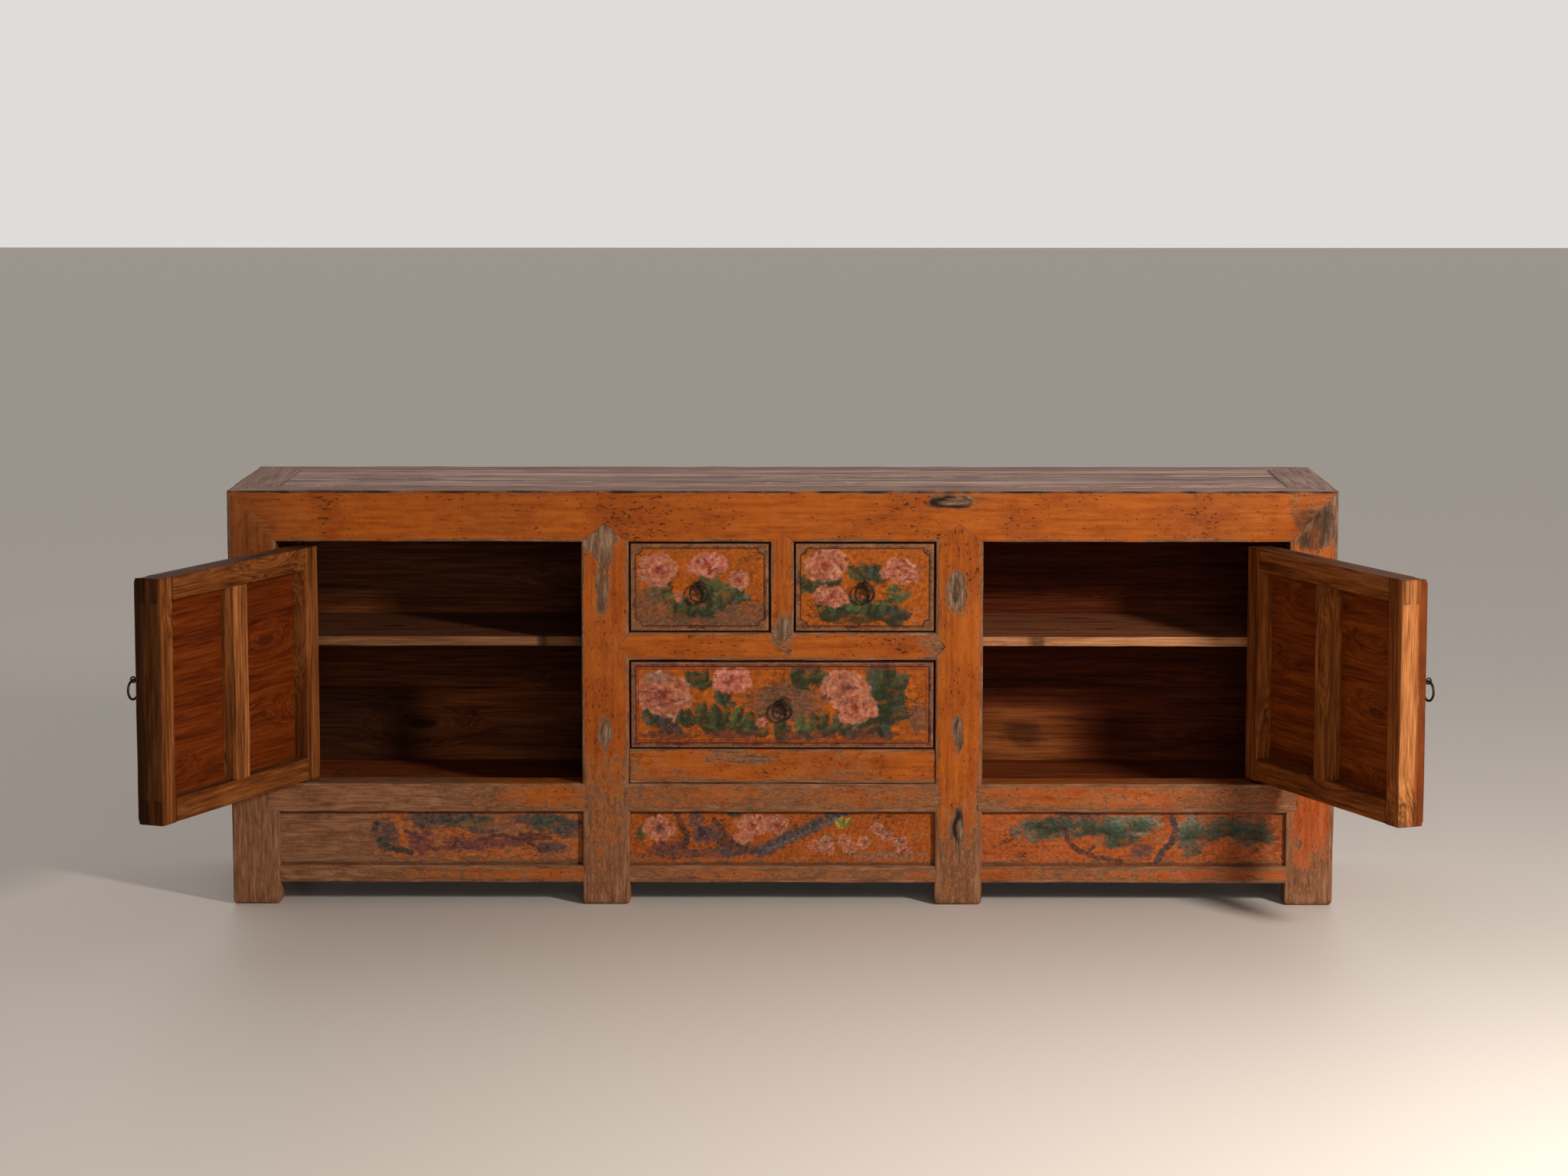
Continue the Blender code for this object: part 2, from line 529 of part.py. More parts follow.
# Doors: frame and panel, built shut around the pivot and then swung open
DOOR_W = DOOR_BAY - PIVOT_GAP - FREE_GAP
DOOR_FOOT = SILL_TOP + DOOR_FOOT_GAP
DOOR_HEAD = TOP_RAIL_Z - DOOR_TOP_GAP
OUTER = -PIVOT_FACE
INNER = DOOR_T - PIVOT_FACE
for side, s in SIDES:
    hinge_x = s * (CORNER_IN - PIVOT_GAP - PIVOT_EDGE)
    pivot = empty(f"{side}_door_pivot", (hinge_x, PIVOT_FACE, 0), ROOT)
    edge_x = s * PIVOT_EDGE
    free_x = edge_x - s * DOOR_W
    hinge_in = edge_x - s * STILE_W
    free_in = free_x + s * STILE_W
    thickness = (OUTER, INNER)

    hinge_stile = bar(f"{side}_door_hinge_stile", (edge_x, hinge_in + s * CLEAR), thickness,
                      (DOOR_FOOT, DOOR_HEAD), DOOR_PINE, pivot)
    soften(hinge_stile, DOOR_ROUND, *FRONT_EDGES, (s, -1, 0))
    free_stile = bar(f"{side}_door_free_stile", (free_x, free_in - s * CLEAR), thickness,
                     (DOOR_FOOT, DOOR_HEAD), DOOR_PINE, pivot)
    soften(free_stile, DOOR_ROUND, *FRONT_EDGES, (-s, -1, 0))

    # The pivots are pegs on the hinge stile: the upper socket is deep enough to lift the door out of the lower
    for label, z_from, z_to, socket_end, holder in (
            ("head", DOOR_HEAD - PIN_R, TOP_RAIL_Z + PIN_ENGAGE, TOP_RAIL_Z + TOP_SOCKET, front_top_rail),
            ("foot", DOOR_FOOT + PIN_R, SILL_TOP - FOOT_SOCKET + CLEAR, SILL_TOP - FOOT_SOCKET, sills[side])):
        peg = rod(f"{side}_door_{label}_peg", PIN_R, PIN_SIDES, (0, 0, z_from), (0, 0, z_to), parent=pivot)
        combine(hinge_stile, "UNION", peg)
        socket = rod(f"{side}_door_{label}_socket", PIN_R + PIN_PLAY, PIN_SIDES, (0, 0, z_from),
                     (0, 0, socket_end), parent=pivot)
        cut(socket, holder)

    door_rails = []
    for label, z0, z1, edges in (("top", DOOR_HEAD - DOOR_RAIL_H, DOOR_HEAD, (0, -1, 1)),
                                 ("bottom", DOOR_FOOT, DOOR_FOOT + DOOR_RAIL_H, (0, -1, -1))):
        rail = bar(f"{side}_door_{label}_rail", (hinge_in, free_in), thickness, (z0, z1), DOOR_PINE, pivot)
        soften(rail, DOOR_ROUND, edges)
        for number, inset in enumerate(TWIN_TENON_INSETS):
            y = (INNER - inset - TWIN_TENON_T, INNER - inset)
            tenon(rail, f"through_{number}", (free_in + s * STILE_W / 2, free_x + s * CLEAR), y, (z0, z1),
                  free_stile, mouth=(-s * STILE_W, 0, 0))
            tenon(rail, f"stub_{number}", (hinge_in - s * STILE_W / 2, hinge_in + s * STUB_TENON_L), y,
                  (z0, z1), hinge_stile)
        door_rails.append(rail)

    panel_y = OUTER + DOOR_PANEL_INSET
    panel = bar(f"{side}_door_panel", (hinge_in + s * HOUSING, free_in - s * HOUSING),
                (panel_y, panel_y + DOOR_PANEL_T),
                (DOOR_FOOT + DOOR_RAIL_H - HOUSING, DOOR_HEAD - DOOR_RAIL_H + HOUSING), DOOR_PINE, pivot)
    house(panel, hinge_stile, free_stile, *door_rails)
    middle_x = (hinge_in + free_in) / 2
    tenon(panel, "batten", (middle_x - BATTEN_W / 2, middle_x + BATTEN_W / 2),
          (panel_y + DOOR_PANEL_T / 2, INNER - CLEAR),
          (DOOR_FOOT + DOOR_RAIL_H + CLEAR, DOOR_HEAD - DOOR_RAIL_H - CLEAR))

    ring_pull(f"{side}_door", pivot, free_x + s * DOOR_PULL_EDGE, OUTER, DOOR_FOOT + DOOR_PULL_H,
              INNER - CLEAR, INNER + DOOR_T, free_stile)
    pivot.rotation_euler.z = s * OPEN_ANGLE

# The origin lies on the floor under the middle of the cabinet as it stands, open doors included
bpy.context.view_layer.update()
view = bpy.context.evaluated_depsgraph_get()
depths = []
for piece in cabinet.objects:
    if piece.type == "MESH":
        solid = piece.evaluated_get(view)
        depths += [(solid.matrix_world @ vertex.co).y for vertex in solid.data.vertices]
ROOT.location.y = -(min(depths) + max(depths)) / 2
bpy.context.view_layer.update()
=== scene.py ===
"""Looks of a painted low buffet cabinet: worn orange lacquer, painted flowers, bare pine and forged iron.

Metres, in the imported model's frame: +X to the right, the front faces -Y, +Z up. The doors stand open.
"""
import math
from types import SimpleNamespace

import bpy
import numpy as np
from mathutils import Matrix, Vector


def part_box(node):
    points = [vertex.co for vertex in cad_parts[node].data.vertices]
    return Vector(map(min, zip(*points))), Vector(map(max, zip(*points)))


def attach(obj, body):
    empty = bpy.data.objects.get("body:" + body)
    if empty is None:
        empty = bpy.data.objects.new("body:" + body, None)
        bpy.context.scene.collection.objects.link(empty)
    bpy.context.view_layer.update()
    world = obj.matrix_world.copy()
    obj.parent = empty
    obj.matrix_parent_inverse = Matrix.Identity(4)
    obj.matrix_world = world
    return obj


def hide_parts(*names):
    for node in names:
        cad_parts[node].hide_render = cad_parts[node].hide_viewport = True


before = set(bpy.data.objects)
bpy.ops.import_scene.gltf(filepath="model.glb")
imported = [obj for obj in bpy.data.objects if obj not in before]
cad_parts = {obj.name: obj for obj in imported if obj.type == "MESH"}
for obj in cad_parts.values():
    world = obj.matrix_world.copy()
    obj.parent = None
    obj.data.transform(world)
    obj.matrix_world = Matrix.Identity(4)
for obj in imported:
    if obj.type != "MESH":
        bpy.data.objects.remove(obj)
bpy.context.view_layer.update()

# Posts: squared pine under orange lacquer, rounded by wear at the feet and rubbed bare low down on the left.
# The corner posts are mitred three ways into the top frame; each mid post ends in a gable let into the front
# rail, and shows the ends of the partition's through tenons on its face.
HALF_W, HEIGHT = 1.05, 0.796
POST_W, POST_D, RAIL_H, GABLE_H = 0.092, 0.07, 0.099, 0.036
POST_ROUND, FOOT_ROUND, SEAM = 0.0045, 0.009, 0.00015
SHARP_ANGLE = math.radians(40)
RAIL_Z = HEIGHT - RAIL_H
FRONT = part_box("front_top_rail")[0].y
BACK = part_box("back_top_rail")[1].y
SIDES = (("left", -1), ("right", 1))
ROWS = (("front", FRONT, POST_D), ("back", BACK, -POST_D))


def smooth(start, end, value):
    """An S-shaped step from 0 at start to 1 at end: t squared times (3 - 2 t)."""
    t = np.clip((value - start) / (end - start), 0, 1)
    return t * t * (3 - 2 * t)


def bell(value, middle, width):
    """A bell curve: e to the power of minus the square of (value - middle) / width."""
    return np.exp(-((value - middle) / width) ** 2)


def blend(first, second, share):
    """From the first colours to the second by a share of 0 to 1 at each place."""
    return first + share[..., None] * (second - first)


def ripple(points, wavelength, seed):
    """Smooth noise of about -1 to 1: twelve sine waves of like length in seeded directions, added up."""
    rng = np.random.default_rng(seed)
    ways = rng.normal(size=(12, points.shape[-1]))
    ways /= np.linalg.norm(ways, axis=1, keepdims=True)
    turns = 2 * np.pi / (wavelength * rng.uniform(0.6, 1.5, 12))
    return np.sin(points @ (ways.T * turns) + rng.uniform(0, 2 * np.pi, 12)).sum(-1) / 4


def put(name, points, faces, body, node, material, slot, **fields):
    """Makes a mesh piece, shaded smooth with sharp corners kept, that rides on a body in place of a node.
    Fields are arrays on its points for the material: one number each, or three for a place or a colour."""
    mesh = bpy.data.meshes.new(name)
    mesh.from_pydata(points, [], faces)
    mesh.shade_smooth()
    mesh.set_sharp_from_angle(angle=SHARP_ANGLE)
    for label, values in fields.items():
        values = np.asarray(values, np.float32)
        kind, key = ("FLOAT", "value") if values.ndim == 1 else ("FLOAT_VECTOR", "vector")
        mesh.attributes.new(label, kind, "POINT").data.foreach_set(key, values.ravel())
    mesh.materials.append(material)
    piece = bpy.data.objects.new(name, mesh)
    bpy.context.scene.collection.objects.link(piece)
    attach(piece, body)
    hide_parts(node)


def tube_faces(rings, sides):
    """Quads between rings of points, and a fan to the single point before the first and after the last."""
    k = np.arange(sides)
    on = (k + 1) % sides
    row = 1 + sides * np.arange(rings - 1)[:, None]
    quads = np.stack([row + k, row + on, row + sides + on, row + sides + k], -1).reshape(-1, 4)
    last = 1 + sides * (rings - 1)
    first_fan = np.stack([np.zeros_like(k), 1 + on, 1 + k], -1)
    last_fan = np.stack([last + k, last + on, np.full_like(k, last + sides)], -1)
    return quads.tolist() + first_fan.tolist() + last_fan.tolist()


def rounded_section(half_b, half_c, radius, pitch):
    """A rounded rectangle as a ring of points, with outward directions and distances from the arrises."""
    points, ways, edges = [], [], []
    arc = np.radians([22.5, 45, 67.5])
    for quarter in range(4):
        turn = np.array([[0, -1], [1, 0]]) if quarter % 2 else np.eye(2)
        turn = turn * (1 if quarter < 2 else -1)
        reach, width = (half_c, half_b) if quarter % 2 else (half_b, half_c)
        flat = width - radius
        along = np.linspace(-flat, flat, 2 * max(1, round(flat / pitch)) + 1)
        side = np.stack([np.full_like(along, reach), along], -1)
        outward = np.stack([np.cos(arc), np.sin(arc)], -1)
        corner = (reach - radius, flat) + radius * outward
        points.append(np.concatenate([side, corner]) @ turn.T)
        ways.append(np.concatenate([np.tile([1.0, 0.0], (len(along), 1)), outward]) @ turn.T)
        edges.append(np.concatenate([flat - abs(along), np.zeros(len(arc))]))
    return np.concatenate(points), np.concatenate(ways), np.concatenate(edges)


def timber_form(first, second, axis, radius, seed, start=None, end=None, foot=0.0, pitch=0.006, worn=0.0012):
    """A sawn length of wood between two opposite corners: a rounded rectangle carried along one axis.

    along = start(b, c) + t (end(b, c) - start(b, c)), so an end may be a mitre, a gable or a point. The
    arrises are worn in by a ripple, and a foot draws the section in on a quarter circle."""
    low, high = np.sort(np.array([first, second], float), axis=0)
    b, c = (axis + 1) % 3, (axis + 2) % 3
    centre, half = (low + high) / 2, (high - low) / 2
    length = high[axis] - low[axis]
    ring, way, edge = rounded_section(half[b], half[c], radius, pitch)
    t = np.linspace(0, 1, max(3, round(length / pitch)) + 1)
    if foot:
        t = np.concatenate([foot / length * np.array([0, 0.08, 0.3, 0.62]), t[t > foot / length]])
    share = np.concatenate([[0, 0.5], np.ones(len(t)), [0.5, 0]])[:, None]
    t = np.concatenate([[0, 0], t, [1, 1]])[:, None]
    near = np.clip(foot - t * length, 0, None)
    draw_in = foot - np.sqrt(np.clip(foot ** 2 - near ** 2, 0, None))
    across_b = centre[b] + ring[:, 0] * share * (1 - draw_in / half[b])
    across_c = centre[c] + ring[:, 1] * share * (1 - draw_in / half[c])
    begin = start(across_b, across_c) if start else np.full_like(across_b, low[axis])
    finish = end(across_b, across_c) if end else np.full_like(across_b, high[axis])
    along = begin + t * (finish - begin)
    grain = np.stack([along, across_b, across_c], -1)
    uneven = np.clip(0.55 + 0.45 * ripple(grain, 0.11, seed), 0.05, 1)
    rub = worn * uneven * np.exp(-edge / 0.006) * (share > 0.9)
    points = np.empty_like(grain)
    points[..., axis] = along
    points[..., b] = across_b - way[:, 0] * rub
    points[..., c] = across_c - way[:, 1] * rub
    end_gap = np.minimum(along - begin, finish - along)
    edge_gap = np.broadcast_to(edge, along.shape)

    def once(field):
        """One value for each end's middle point, and the rings between them."""
        return np.concatenate([field[:1, 0], field[1:-1].reshape(-1, *field.shape[2:]), field[-1:, 0]])

    grain = grain + np.random.default_rng(seed).uniform(-1, 1, 3)
    return once(points), tube_faces(len(t) - 2, len(ring)), once(grain), once(edge_gap), once(end_gap)


def mitre(tip, depth, first, second):
    """A mitred end: tip + depth times the larger share of the way in from the outer corner. First and second
    are the corner's place and the member's width in the two directions across."""
    def plane(b, c):
        return tip + depth * np.maximum(abs(b - first[0]) / first[1], abs(c - second[0]) / second[1])
    return plane


def pointed(shoulder, point, across, middle, half):
    """A pointed end: shoulder + point times (1 - distance from the middle over the half width)."""
    def plane(*place):
        return shoulder + point * (1 - abs(place[across] - middle) / half)
    return plane


class Field:
    """A number, place or colour in a material, as a socket. Plus, minus and times are Math nodes."""

    def __init__(self, socket):
        self.socket = socket
        self.tree = socket.id_data

    def maths(self, operation, other=0.0):
        return add(self.tree, "ShaderNodeMath", {0: self, 1: other}, 0, operation=operation)

    def __add__(self, other):
        return self.maths("ADD", other)

    def __sub__(self, other):
        return self.maths("SUBTRACT", other)

    def __mul__(self, other):
        return self.maths("MULTIPLY", other)


def add(tree, kind, inputs, output, **settings):
    """Adds a shader node and gives one of its outputs; an input takes a number, a colour or a field."""
    made = tree.nodes.new(kind)
    for name, value in settings.items():
        setattr(made, name, value)
    for key, value in inputs.items():
        if isinstance(value, Field):
            tree.links.new(value.socket, made.inputs[key])
        else:
            made.inputs[key].default_value = value
    return Field(made.outputs[output])


def stored(tree, name, output="Fac"):
    """A field kept on the mesh's points."""
    return add(tree, "ShaderNodeAttribute", {}, output, attribute_name=name)


def stretched(place, *scale):
    """Coordinates scaled on each axis."""
    return add(place.tree, "ShaderNodeMapping", {"Vector": place, "Scale": scale}, "Vector")


def speckle(place, scale, detail, roughness=0.55, along=1.0):
    """Fractal noise of about 0.3 to 0.7, drawn out along the grain where along is under 1."""
    drawn_out = stretched(place, along, 1, 1)
    inputs = {"Vector": drawn_out, "Scale": scale, "Detail": detail, "Roughness": roughness}
    return add(place.tree, "ShaderNodeTexNoise", inputs, "Fac")


def between(value, start, end):
    """An S-shaped step from 0 at start to 1 at end."""
    inputs = {"Value": value, "From Min": start, "From Max": end}
    return add(value.tree, "ShaderNodeMapRange", inputs, "Result", interpolation_type="SMOOTHSTEP")


def mixed(share, first, second, blend_type="MIX"):
    """One colour over another."""
    upper = second if isinstance(second, Field) else (*second, 1)
    return add(first.tree, "ShaderNodeMix", {0: share, 6: first, 7: upper}, 2, data_type="RGBA",
               blend_type=blend_type)


def shades(value, *stops):
    """A colour ramp of (place, colour) stops."""
    colour = add(value.tree, "ShaderNodeValToRGB", {"Fac": value}, "Color")
    elements = colour.socket.node.color_ramp.elements
    while len(elements) < len(stops):
        elements.new(1.0)
    for element, (place, shade) in zip(elements, stops):
        element.position = place
        element.color = (*shade, 1.0)
    return colour


def new_material(name):
    """A material with nodes, and its node tree."""
    material = bpy.data.materials.new(name)
    material.use_nodes = True
    return material, material.node_tree


def dress(colour, rough, height, depth, sheen=0.5):
    """Wires colour, roughness and a bump of the given depth into a material, and sets its reflections."""
    tree = colour.tree
    inputs = tree.nodes["Principled BSDF"].inputs
    bump = add(tree, "ShaderNodeBump", {"Height": height, "Distance": depth, "Strength": 0.6}, "Normal")
    for name, field in (("Base Color", colour), ("Roughness", rough), ("Normal", bump)):
        tree.links.new(field.socket, inputs[name])
    inputs["Specular IOR Level"].default_value = sheen


def crackle(grain, scale, width):
    """Wandering cracks: thin contour lines of a noise, longer along the grain, that come and go."""
    level = speckle(grain, scale, 5, 0.6, along=0.4) - 0.5
    lines = between(level.maths("ABSOLUTE"), width, 0.3 * width)
    return lines * between(speckle(grain, 13, 3), 0.45, 0.62)


def wear_through(paint, grain):
    """Lacquer worn through to wood: the worn field, made ragged by noise, turns paint to a pale lip, a dark
    rim and then to wood, tan or grey, with streaks along the grain. Gives the colour and the worn share."""
    ragged = speckle(grain, 75, 8, 0.68, along=0.45) - 0.5
    fine = speckle(grain, 420, 3, 0.6, along=0.3) - 0.5
    field = stored(grain.tree, "wear") + ragged * 1.5 + fine * 0.5
    streak = speckle(grain, 190, 6, 0.72, along=0.09)
    tan = shades(streak, (0.3, (0.082, 0.03, 0.012)), (0.48, (0.19, 0.077, 0.034)),
                 (0.7, (0.33, 0.152, 0.076)))
    grey = shades(streak, (0.32, (0.036, 0.017, 0.009)), (0.48, (0.142, 0.075, 0.041)),
                  (0.7, (0.33, 0.196, 0.122)))
    stain = between(speckle(grain, 48, 7, 0.7, along=0.6), 0.52, 0.66)
    wood = mixed(stored(grain.tree, "grey"), tan, grey)
    wood = mixed(stain * 0.55, wood, (0.085, 0.031, 0.013))
    under = mixed(between(field, 0.31, 0.38) * 0.28, paint, (0.42, 0.18, 0.075))
    under = mixed(between(field, 0.38, 0.47) * 0.62, under, (0.066, 0.027, 0.012))
    worn = between(field, 0.44, 0.6)
    return mixed(worn, under, wood), worn


def lacquer_coat():
    """Orange lacquer on old pine: streaked along the grain, flecked with dark pits and light chips, redder,
    browner or worn where noted, and bleached on top."""
    material, tree = new_material("worn_orange_lacquer")
    grain, wear = stored(tree, "grain", "Vector"), stored(tree, "wear")
    cloud = speckle(grain, 7, 3)
    streak = speckle(grain, 110, 6, 0.65, along=0.06)
    mottle = speckle(grain, 55, 7, 0.72, along=0.5)
    orange = shades(streak, (0.28, (0.21, 0.041, 0.003)), (0.5, (0.325, 0.071, 0.005)),
                    (0.72, (0.39, 0.1, 0.009)))
    red = shades(streak, (0.28, (0.22, 0.034, 0.005)), (0.52, (0.37, 0.066, 0.01)),
                 (0.75, (0.42, 0.11, 0.028)))
    brown = shades(streak, (0.28, (0.1, 0.028, 0.006)), (0.52, (0.21, 0.058, 0.012)),
                   (0.75, (0.27, 0.085, 0.02)))
    coat = mixed(stored(tree, "red"), orange, red)
    coat = mixed(stored(tree, "brown"), coat, brown)
    coat = mixed(between(cloud, 0.45, 0.7) * 0.7, coat, (0.22, 0.04, 0.003))
    tint = shades(mottle, (0.3, (0.7, 0.64, 0.6)), (0.5, (1, 1, 1)), (0.7, (1.12, 1.16, 1.2)))
    coat = mixed(1.0, coat, tint, "MULTIPLY")
    chips = between(speckle(grain, 340, 2, 0.5), 0.7, 0.74)
    coat = mixed(chips * 0.55, coat, (0.46, 0.21, 0.09))
    cracks = crackle(grain, 38, 0.012) * between(wear, 0.02, 0.25)
    flecks = speckle(grain, 225, 4, 0.6, along=0.45)
    pits = between(flecks + cloud * 0.35, 0.81, 0.855).maths("MAXIMUM", cracks * 0.85)
    coat = mixed(pits, coat, (0.05, 0.018, 0.007))
    film = between(wear + (mottle - 0.5) * 1.1, 0.12, 0.62)
    coat = mixed(film * 0.75, coat, (0.18, 0.066, 0.025))
    colour, worn = wear_through(coat, grain)
    # Grime and painted shade from the stored field darken the lacquer and the bleached top.
    soot_and_shade, soot_and_shade_colour = between(stored(tree, "grime") + (mottle - 0.5), 0.12, 0.72), (0.02, 0.009, 0.005)
    colour = mixed(soot_and_shade, colour, soot_and_shade_colour)
    bleached = shades(speckle(grain, 150, 6, 0.65, along=0.04), (0.32, (0.16, 0.085, 0.063)),
                      (0.5, (0.31, 0.182, 0.142)), (0.68, (0.43, 0.285, 0.235)))
    bleached = mixed(soot_and_shade * 0.9, bleached, soot_and_shade_colour)
    weathered = stored(tree, "weathered")
    colour = mixed(weathered, colour, bleached)
    rough = worn * 0.3 + streak * 0.5 + weathered * 0.4 + 0.2
    dress(colour, rough, streak * 0.35 - worn * 0.5 - pits, 0.0012, sheen=0.11)
    return material


LACQUER = lacquer_coat()


def front_wear(points, edge, end, seed):
    """Where the lacquer is gone: along arrises and joints, low down, and most of all at the lower left."""
    x, _, z = points.T
    lower_left = smooth(-0.45, -0.98, x) * smooth(0.27, 0.2, z)
    arrises = np.exp(-edge / 0.0022) * (0.8 + 0.35 * ripple(points, 0.08, seed))
    low_arrises = np.exp(-edge / 0.016) * smooth(0.34, 0.16, z)
    wear = 0.06 + 0.26 * smooth(0.36, 0.06, z) + 0.34 * lower_left + 0.62 * arrises + 0.14 * low_arrises
    return wear + 0.16 * np.exp(-end / 0.01) + 0.1 * ripple(points, 0.22, seed + 1)


def spot(points, x, z, half_x, half_z):
    """An oval on the front with a soft, uneven edge, 1 in the middle."""
    far = np.hypot((points[:, 0] - x) / half_x, (points[:, 2] - z) / half_z)
    return smooth(1.4, 0.65, far + 0.16 * ripple(points, 0.035, 6))


def lacquered(node, low, high, axis, radius=0.003, patches=(), rubbed=(), dirt=(), bare=0.0, brown=0.0,
              joint=0.6, top_dirt=0.0, **form):
    """A lacquered frame member in place of its node. A spot is x, z, half width, half height and strength:
    patches are grey worn spots, rubbed ones are tan, dirt spots are dark, and a dirt spot of negative
    strength is cleaner than what lies round it."""
    points, faces, grain, edge, end = timber_form(low, high, axis, radius, **form)
    x, y, z = points.T
    behind = smooth(0.1, 0.3, y)
    wear = (front_wear(points, edge, end, form["seed"]) + bare) * (1 - 0.25 * behind)
    wear += 0.34 * bell(z, HEIGHT - 0.0105, 0.0028) * smooth(0.1, 0.9, ripple(points, 0.05, 9))
    grey = np.zeros(len(points))
    for *oval, strength in patches:
        worn = spot(points, *oval)
        wear += strength * worn
        grey = np.maximum(grey, smooth(0.0, 0.3, worn))
    for *oval, strength in rubbed:
        wear += strength * spot(points, *oval)
    joints = joint * smooth(0.0016, 0.0002, end) * (0.65 + 0.35 * ripple(points, 0.03, 4))
    # Painted shade: faces inside the cabinet, behind the front and below the top rail, are darkened.
    inner = smooth(BACK - 0.002, BACK - 0.012, y) * smooth(HALF_W - 0.006, HALF_W - 0.016, abs(x))
    grime = np.maximum(joints, 0.5 * behind * inner * smooth(RAIL_Z + 0.08, RAIL_Z, z))
    top_line = bell(z, HEIGHT - 0.0035, 0.003) * smooth(FRONT + 0.003, FRONT + 0.0015, y)
    grime = np.maximum(grime, 0.8 * top_line * (0.7 + 0.3 * ripple(points, 0.06, 5)))
    for *oval, strength in dirt:
        dark = spot(points, *oval)
        grime = np.maximum(grime, strength * dark) if strength > 0 else grime * (1 + strength * dark)
    weathered = smooth(HEIGHT - 0.003, HEIGHT - 0.0007, z)
    left_end = smooth(-0.75, -1.02, x)
    put(f"{node}_worn", points, faces, "cabinet", node, LACQUER, "orange_lacquer", grain=grain, wear=wear,
        grey=grey, weathered=weathered, grime=np.maximum(grime, top_dirt * weathered),
        red=smooth(0.15, 0.9, x) * smooth(0.34, 0.16, z),
        brown=np.clip(brown + 0.5 * left_end + 0.6 * behind + 0.15 * ripple(points, 0.15, 8), 0, 1))


POST_BROWN, POST_JOINT = {"left": 0.6, "right": 0.0}, {"left": 0.1, "right": 0.5}
POST_RUBBED = {"left": [(-1.004, 0.1, 0.12, 0.17, 0.35)],
               "right": [(1.0, 0.03, 0.09, 0.04, 0.18), (1.004, 0.72, 0.034, 0.05, 0.3)]}
SCORCHED = {"dirt": [(1.018, 0.735, 0.024, 0.045, 0.46), (1.002, 0.705, 0.026, 0.024, 0.5)],
            "patches": [(1.034, 0.75, 0.022, 0.055, 0.36)]}
MID_SEED = {"left": 20, "right": 25}
MID_RUBBED = {"left": [(-0.335, 0.08, 0.07, 0.2, 0.12)], "right": [(0.335, 0.04, 0.06, 0.06, 0.15)]}
MID_PATCHES = {"left": [(-0.343, 0.707, 0.031, 0.042, 0.6), (-0.34, 0.612, 0.017, 0.056, 0.5)],
               "right": [(0.329, 0.605, 0.02, 0.037, 0.6), (0.34, 0.58, 0.014, 0.024, 0.3)]}
TENON_Z = {"left": (0.333,), "right": (0.15, 0.333)}
UPPER_DIRT = [(0.0, 0.333, 0.009, 0.03, 0.5), (0.002, 0.333, 0.006, 0.022, -0.7),
              (-0.008, 0.602, 0.006, 0.034, 0.4)]
LOWER_DIRT = {"left": [], "right": [(0.0, 0.15, 0.01, 0.033, 0.8), (0.003, 0.147, 0.006, 0.024, -0.7)]}
for side, s in SIDES:
    for row, y_out, depth in ROWS:
        lacquered(f"{row}_post_{side}", (s * HALF_W, y_out, 0),
                  (s * (HALF_W - POST_W), y_out + depth, HEIGHT), 2,
                  radius=POST_ROUND, foot=FOOT_ROUND, seed=11 + 2 * s + (row == "back"),
                  end=mitre(HEIGHT - SEAM, -RAIL_H, (s * HALF_W, POST_W), (y_out, POST_D)),
                  brown=POST_BROWN[side], joint=POST_JOINT[side], rubbed=POST_RUBBED[side],
                  **(SCORCHED if (row, side) == ("front", "right") else {}))
    low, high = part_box(f"mid_post_{side}")
    middle = (low.x + high.x) / 2
    lacquered(f"mid_post_{side}", (low.x, FRONT, 0), (high.x, FRONT + POST_D, RAIL_Z + GABLE_H), 2,
              radius=POST_ROUND, foot=FOOT_ROUND, seed=MID_SEED[side], pitch=0.004,
              end=pointed(RAIL_Z - SEAM, GABLE_H, 0, middle, (high.x - low.x) / 2), rubbed=MID_RUBBED[side],
              patches=[(middle - 0.002, z, 0.012, 0.036, 0.55) for z in TENON_Z[side]] + MID_PATCHES[side],
              dirt=[(middle + dx, *rest) for dx, *rest in LOWER_DIRT[side] + UPPER_DIRT])

# Top frame: four rails flush with the posts, mitred together at the corners. The front one is thick with
# lacquer, with a dark knot right of the middle and a corner at the right that is worn and scorched.
RAIL_ROUND, RAIL_PITCH, TOP_DIRT = 0.004, 0.0045, 0.15
KNOT_X, KNOT_Z = 0.318, 0.772
FRONT_MARKS = {"dirt": [(KNOT_X, KNOT_Z, 0.042, 0.011, 0.85),
                        (KNOT_X + 0.008, KNOT_Z + 0.001, 0.032, 0.006, -0.85),
                        (0.988, 0.733, 0.028, 0.032, 0.43)],
               "patches": [(KNOT_X + 0.006, KNOT_Z + 0.002, 0.052, 0.013, 0.6)],
               "rubbed": [(0.995, 0.75, 0.04, 0.04, 0.34)]}
for seed, (row, y_out, depth) in enumerate(ROWS, 31):
    across = (y_out, POST_D), (HEIGHT, RAIL_H)
    lacquered(f"{row}_top_rail", (-HALF_W, y_out, RAIL_Z), (HALF_W, y_out + depth, HEIGHT), 0,
              radius=RAIL_ROUND, seed=seed, joint=0.12, pitch=RAIL_PITCH, bare=-0.05, top_dirt=TOP_DIRT,
              start=mitre(SEAM - HALF_W, POST_W, *across), end=mitre(HALF_W - SEAM, -POST_W, *across),
              **(FRONT_MARKS if row == "front" else {}))
for side, s in SIDES:
    across = (HEIGHT, RAIL_H), (s * HALF_W, POST_W)
    lacquered(f"side_top_rail_{side}", (s * HALF_W, FRONT, RAIL_Z), (s * (HALF_W - POST_W), BACK, HEIGHT), 1,
              radius=RAIL_ROUND, seed=41 + s, top_dirt=TOP_DIRT,
              start=mitre(FRONT + SEAM, POST_D, *across), end=mitre(BACK - SEAM, -POST_D, *across))

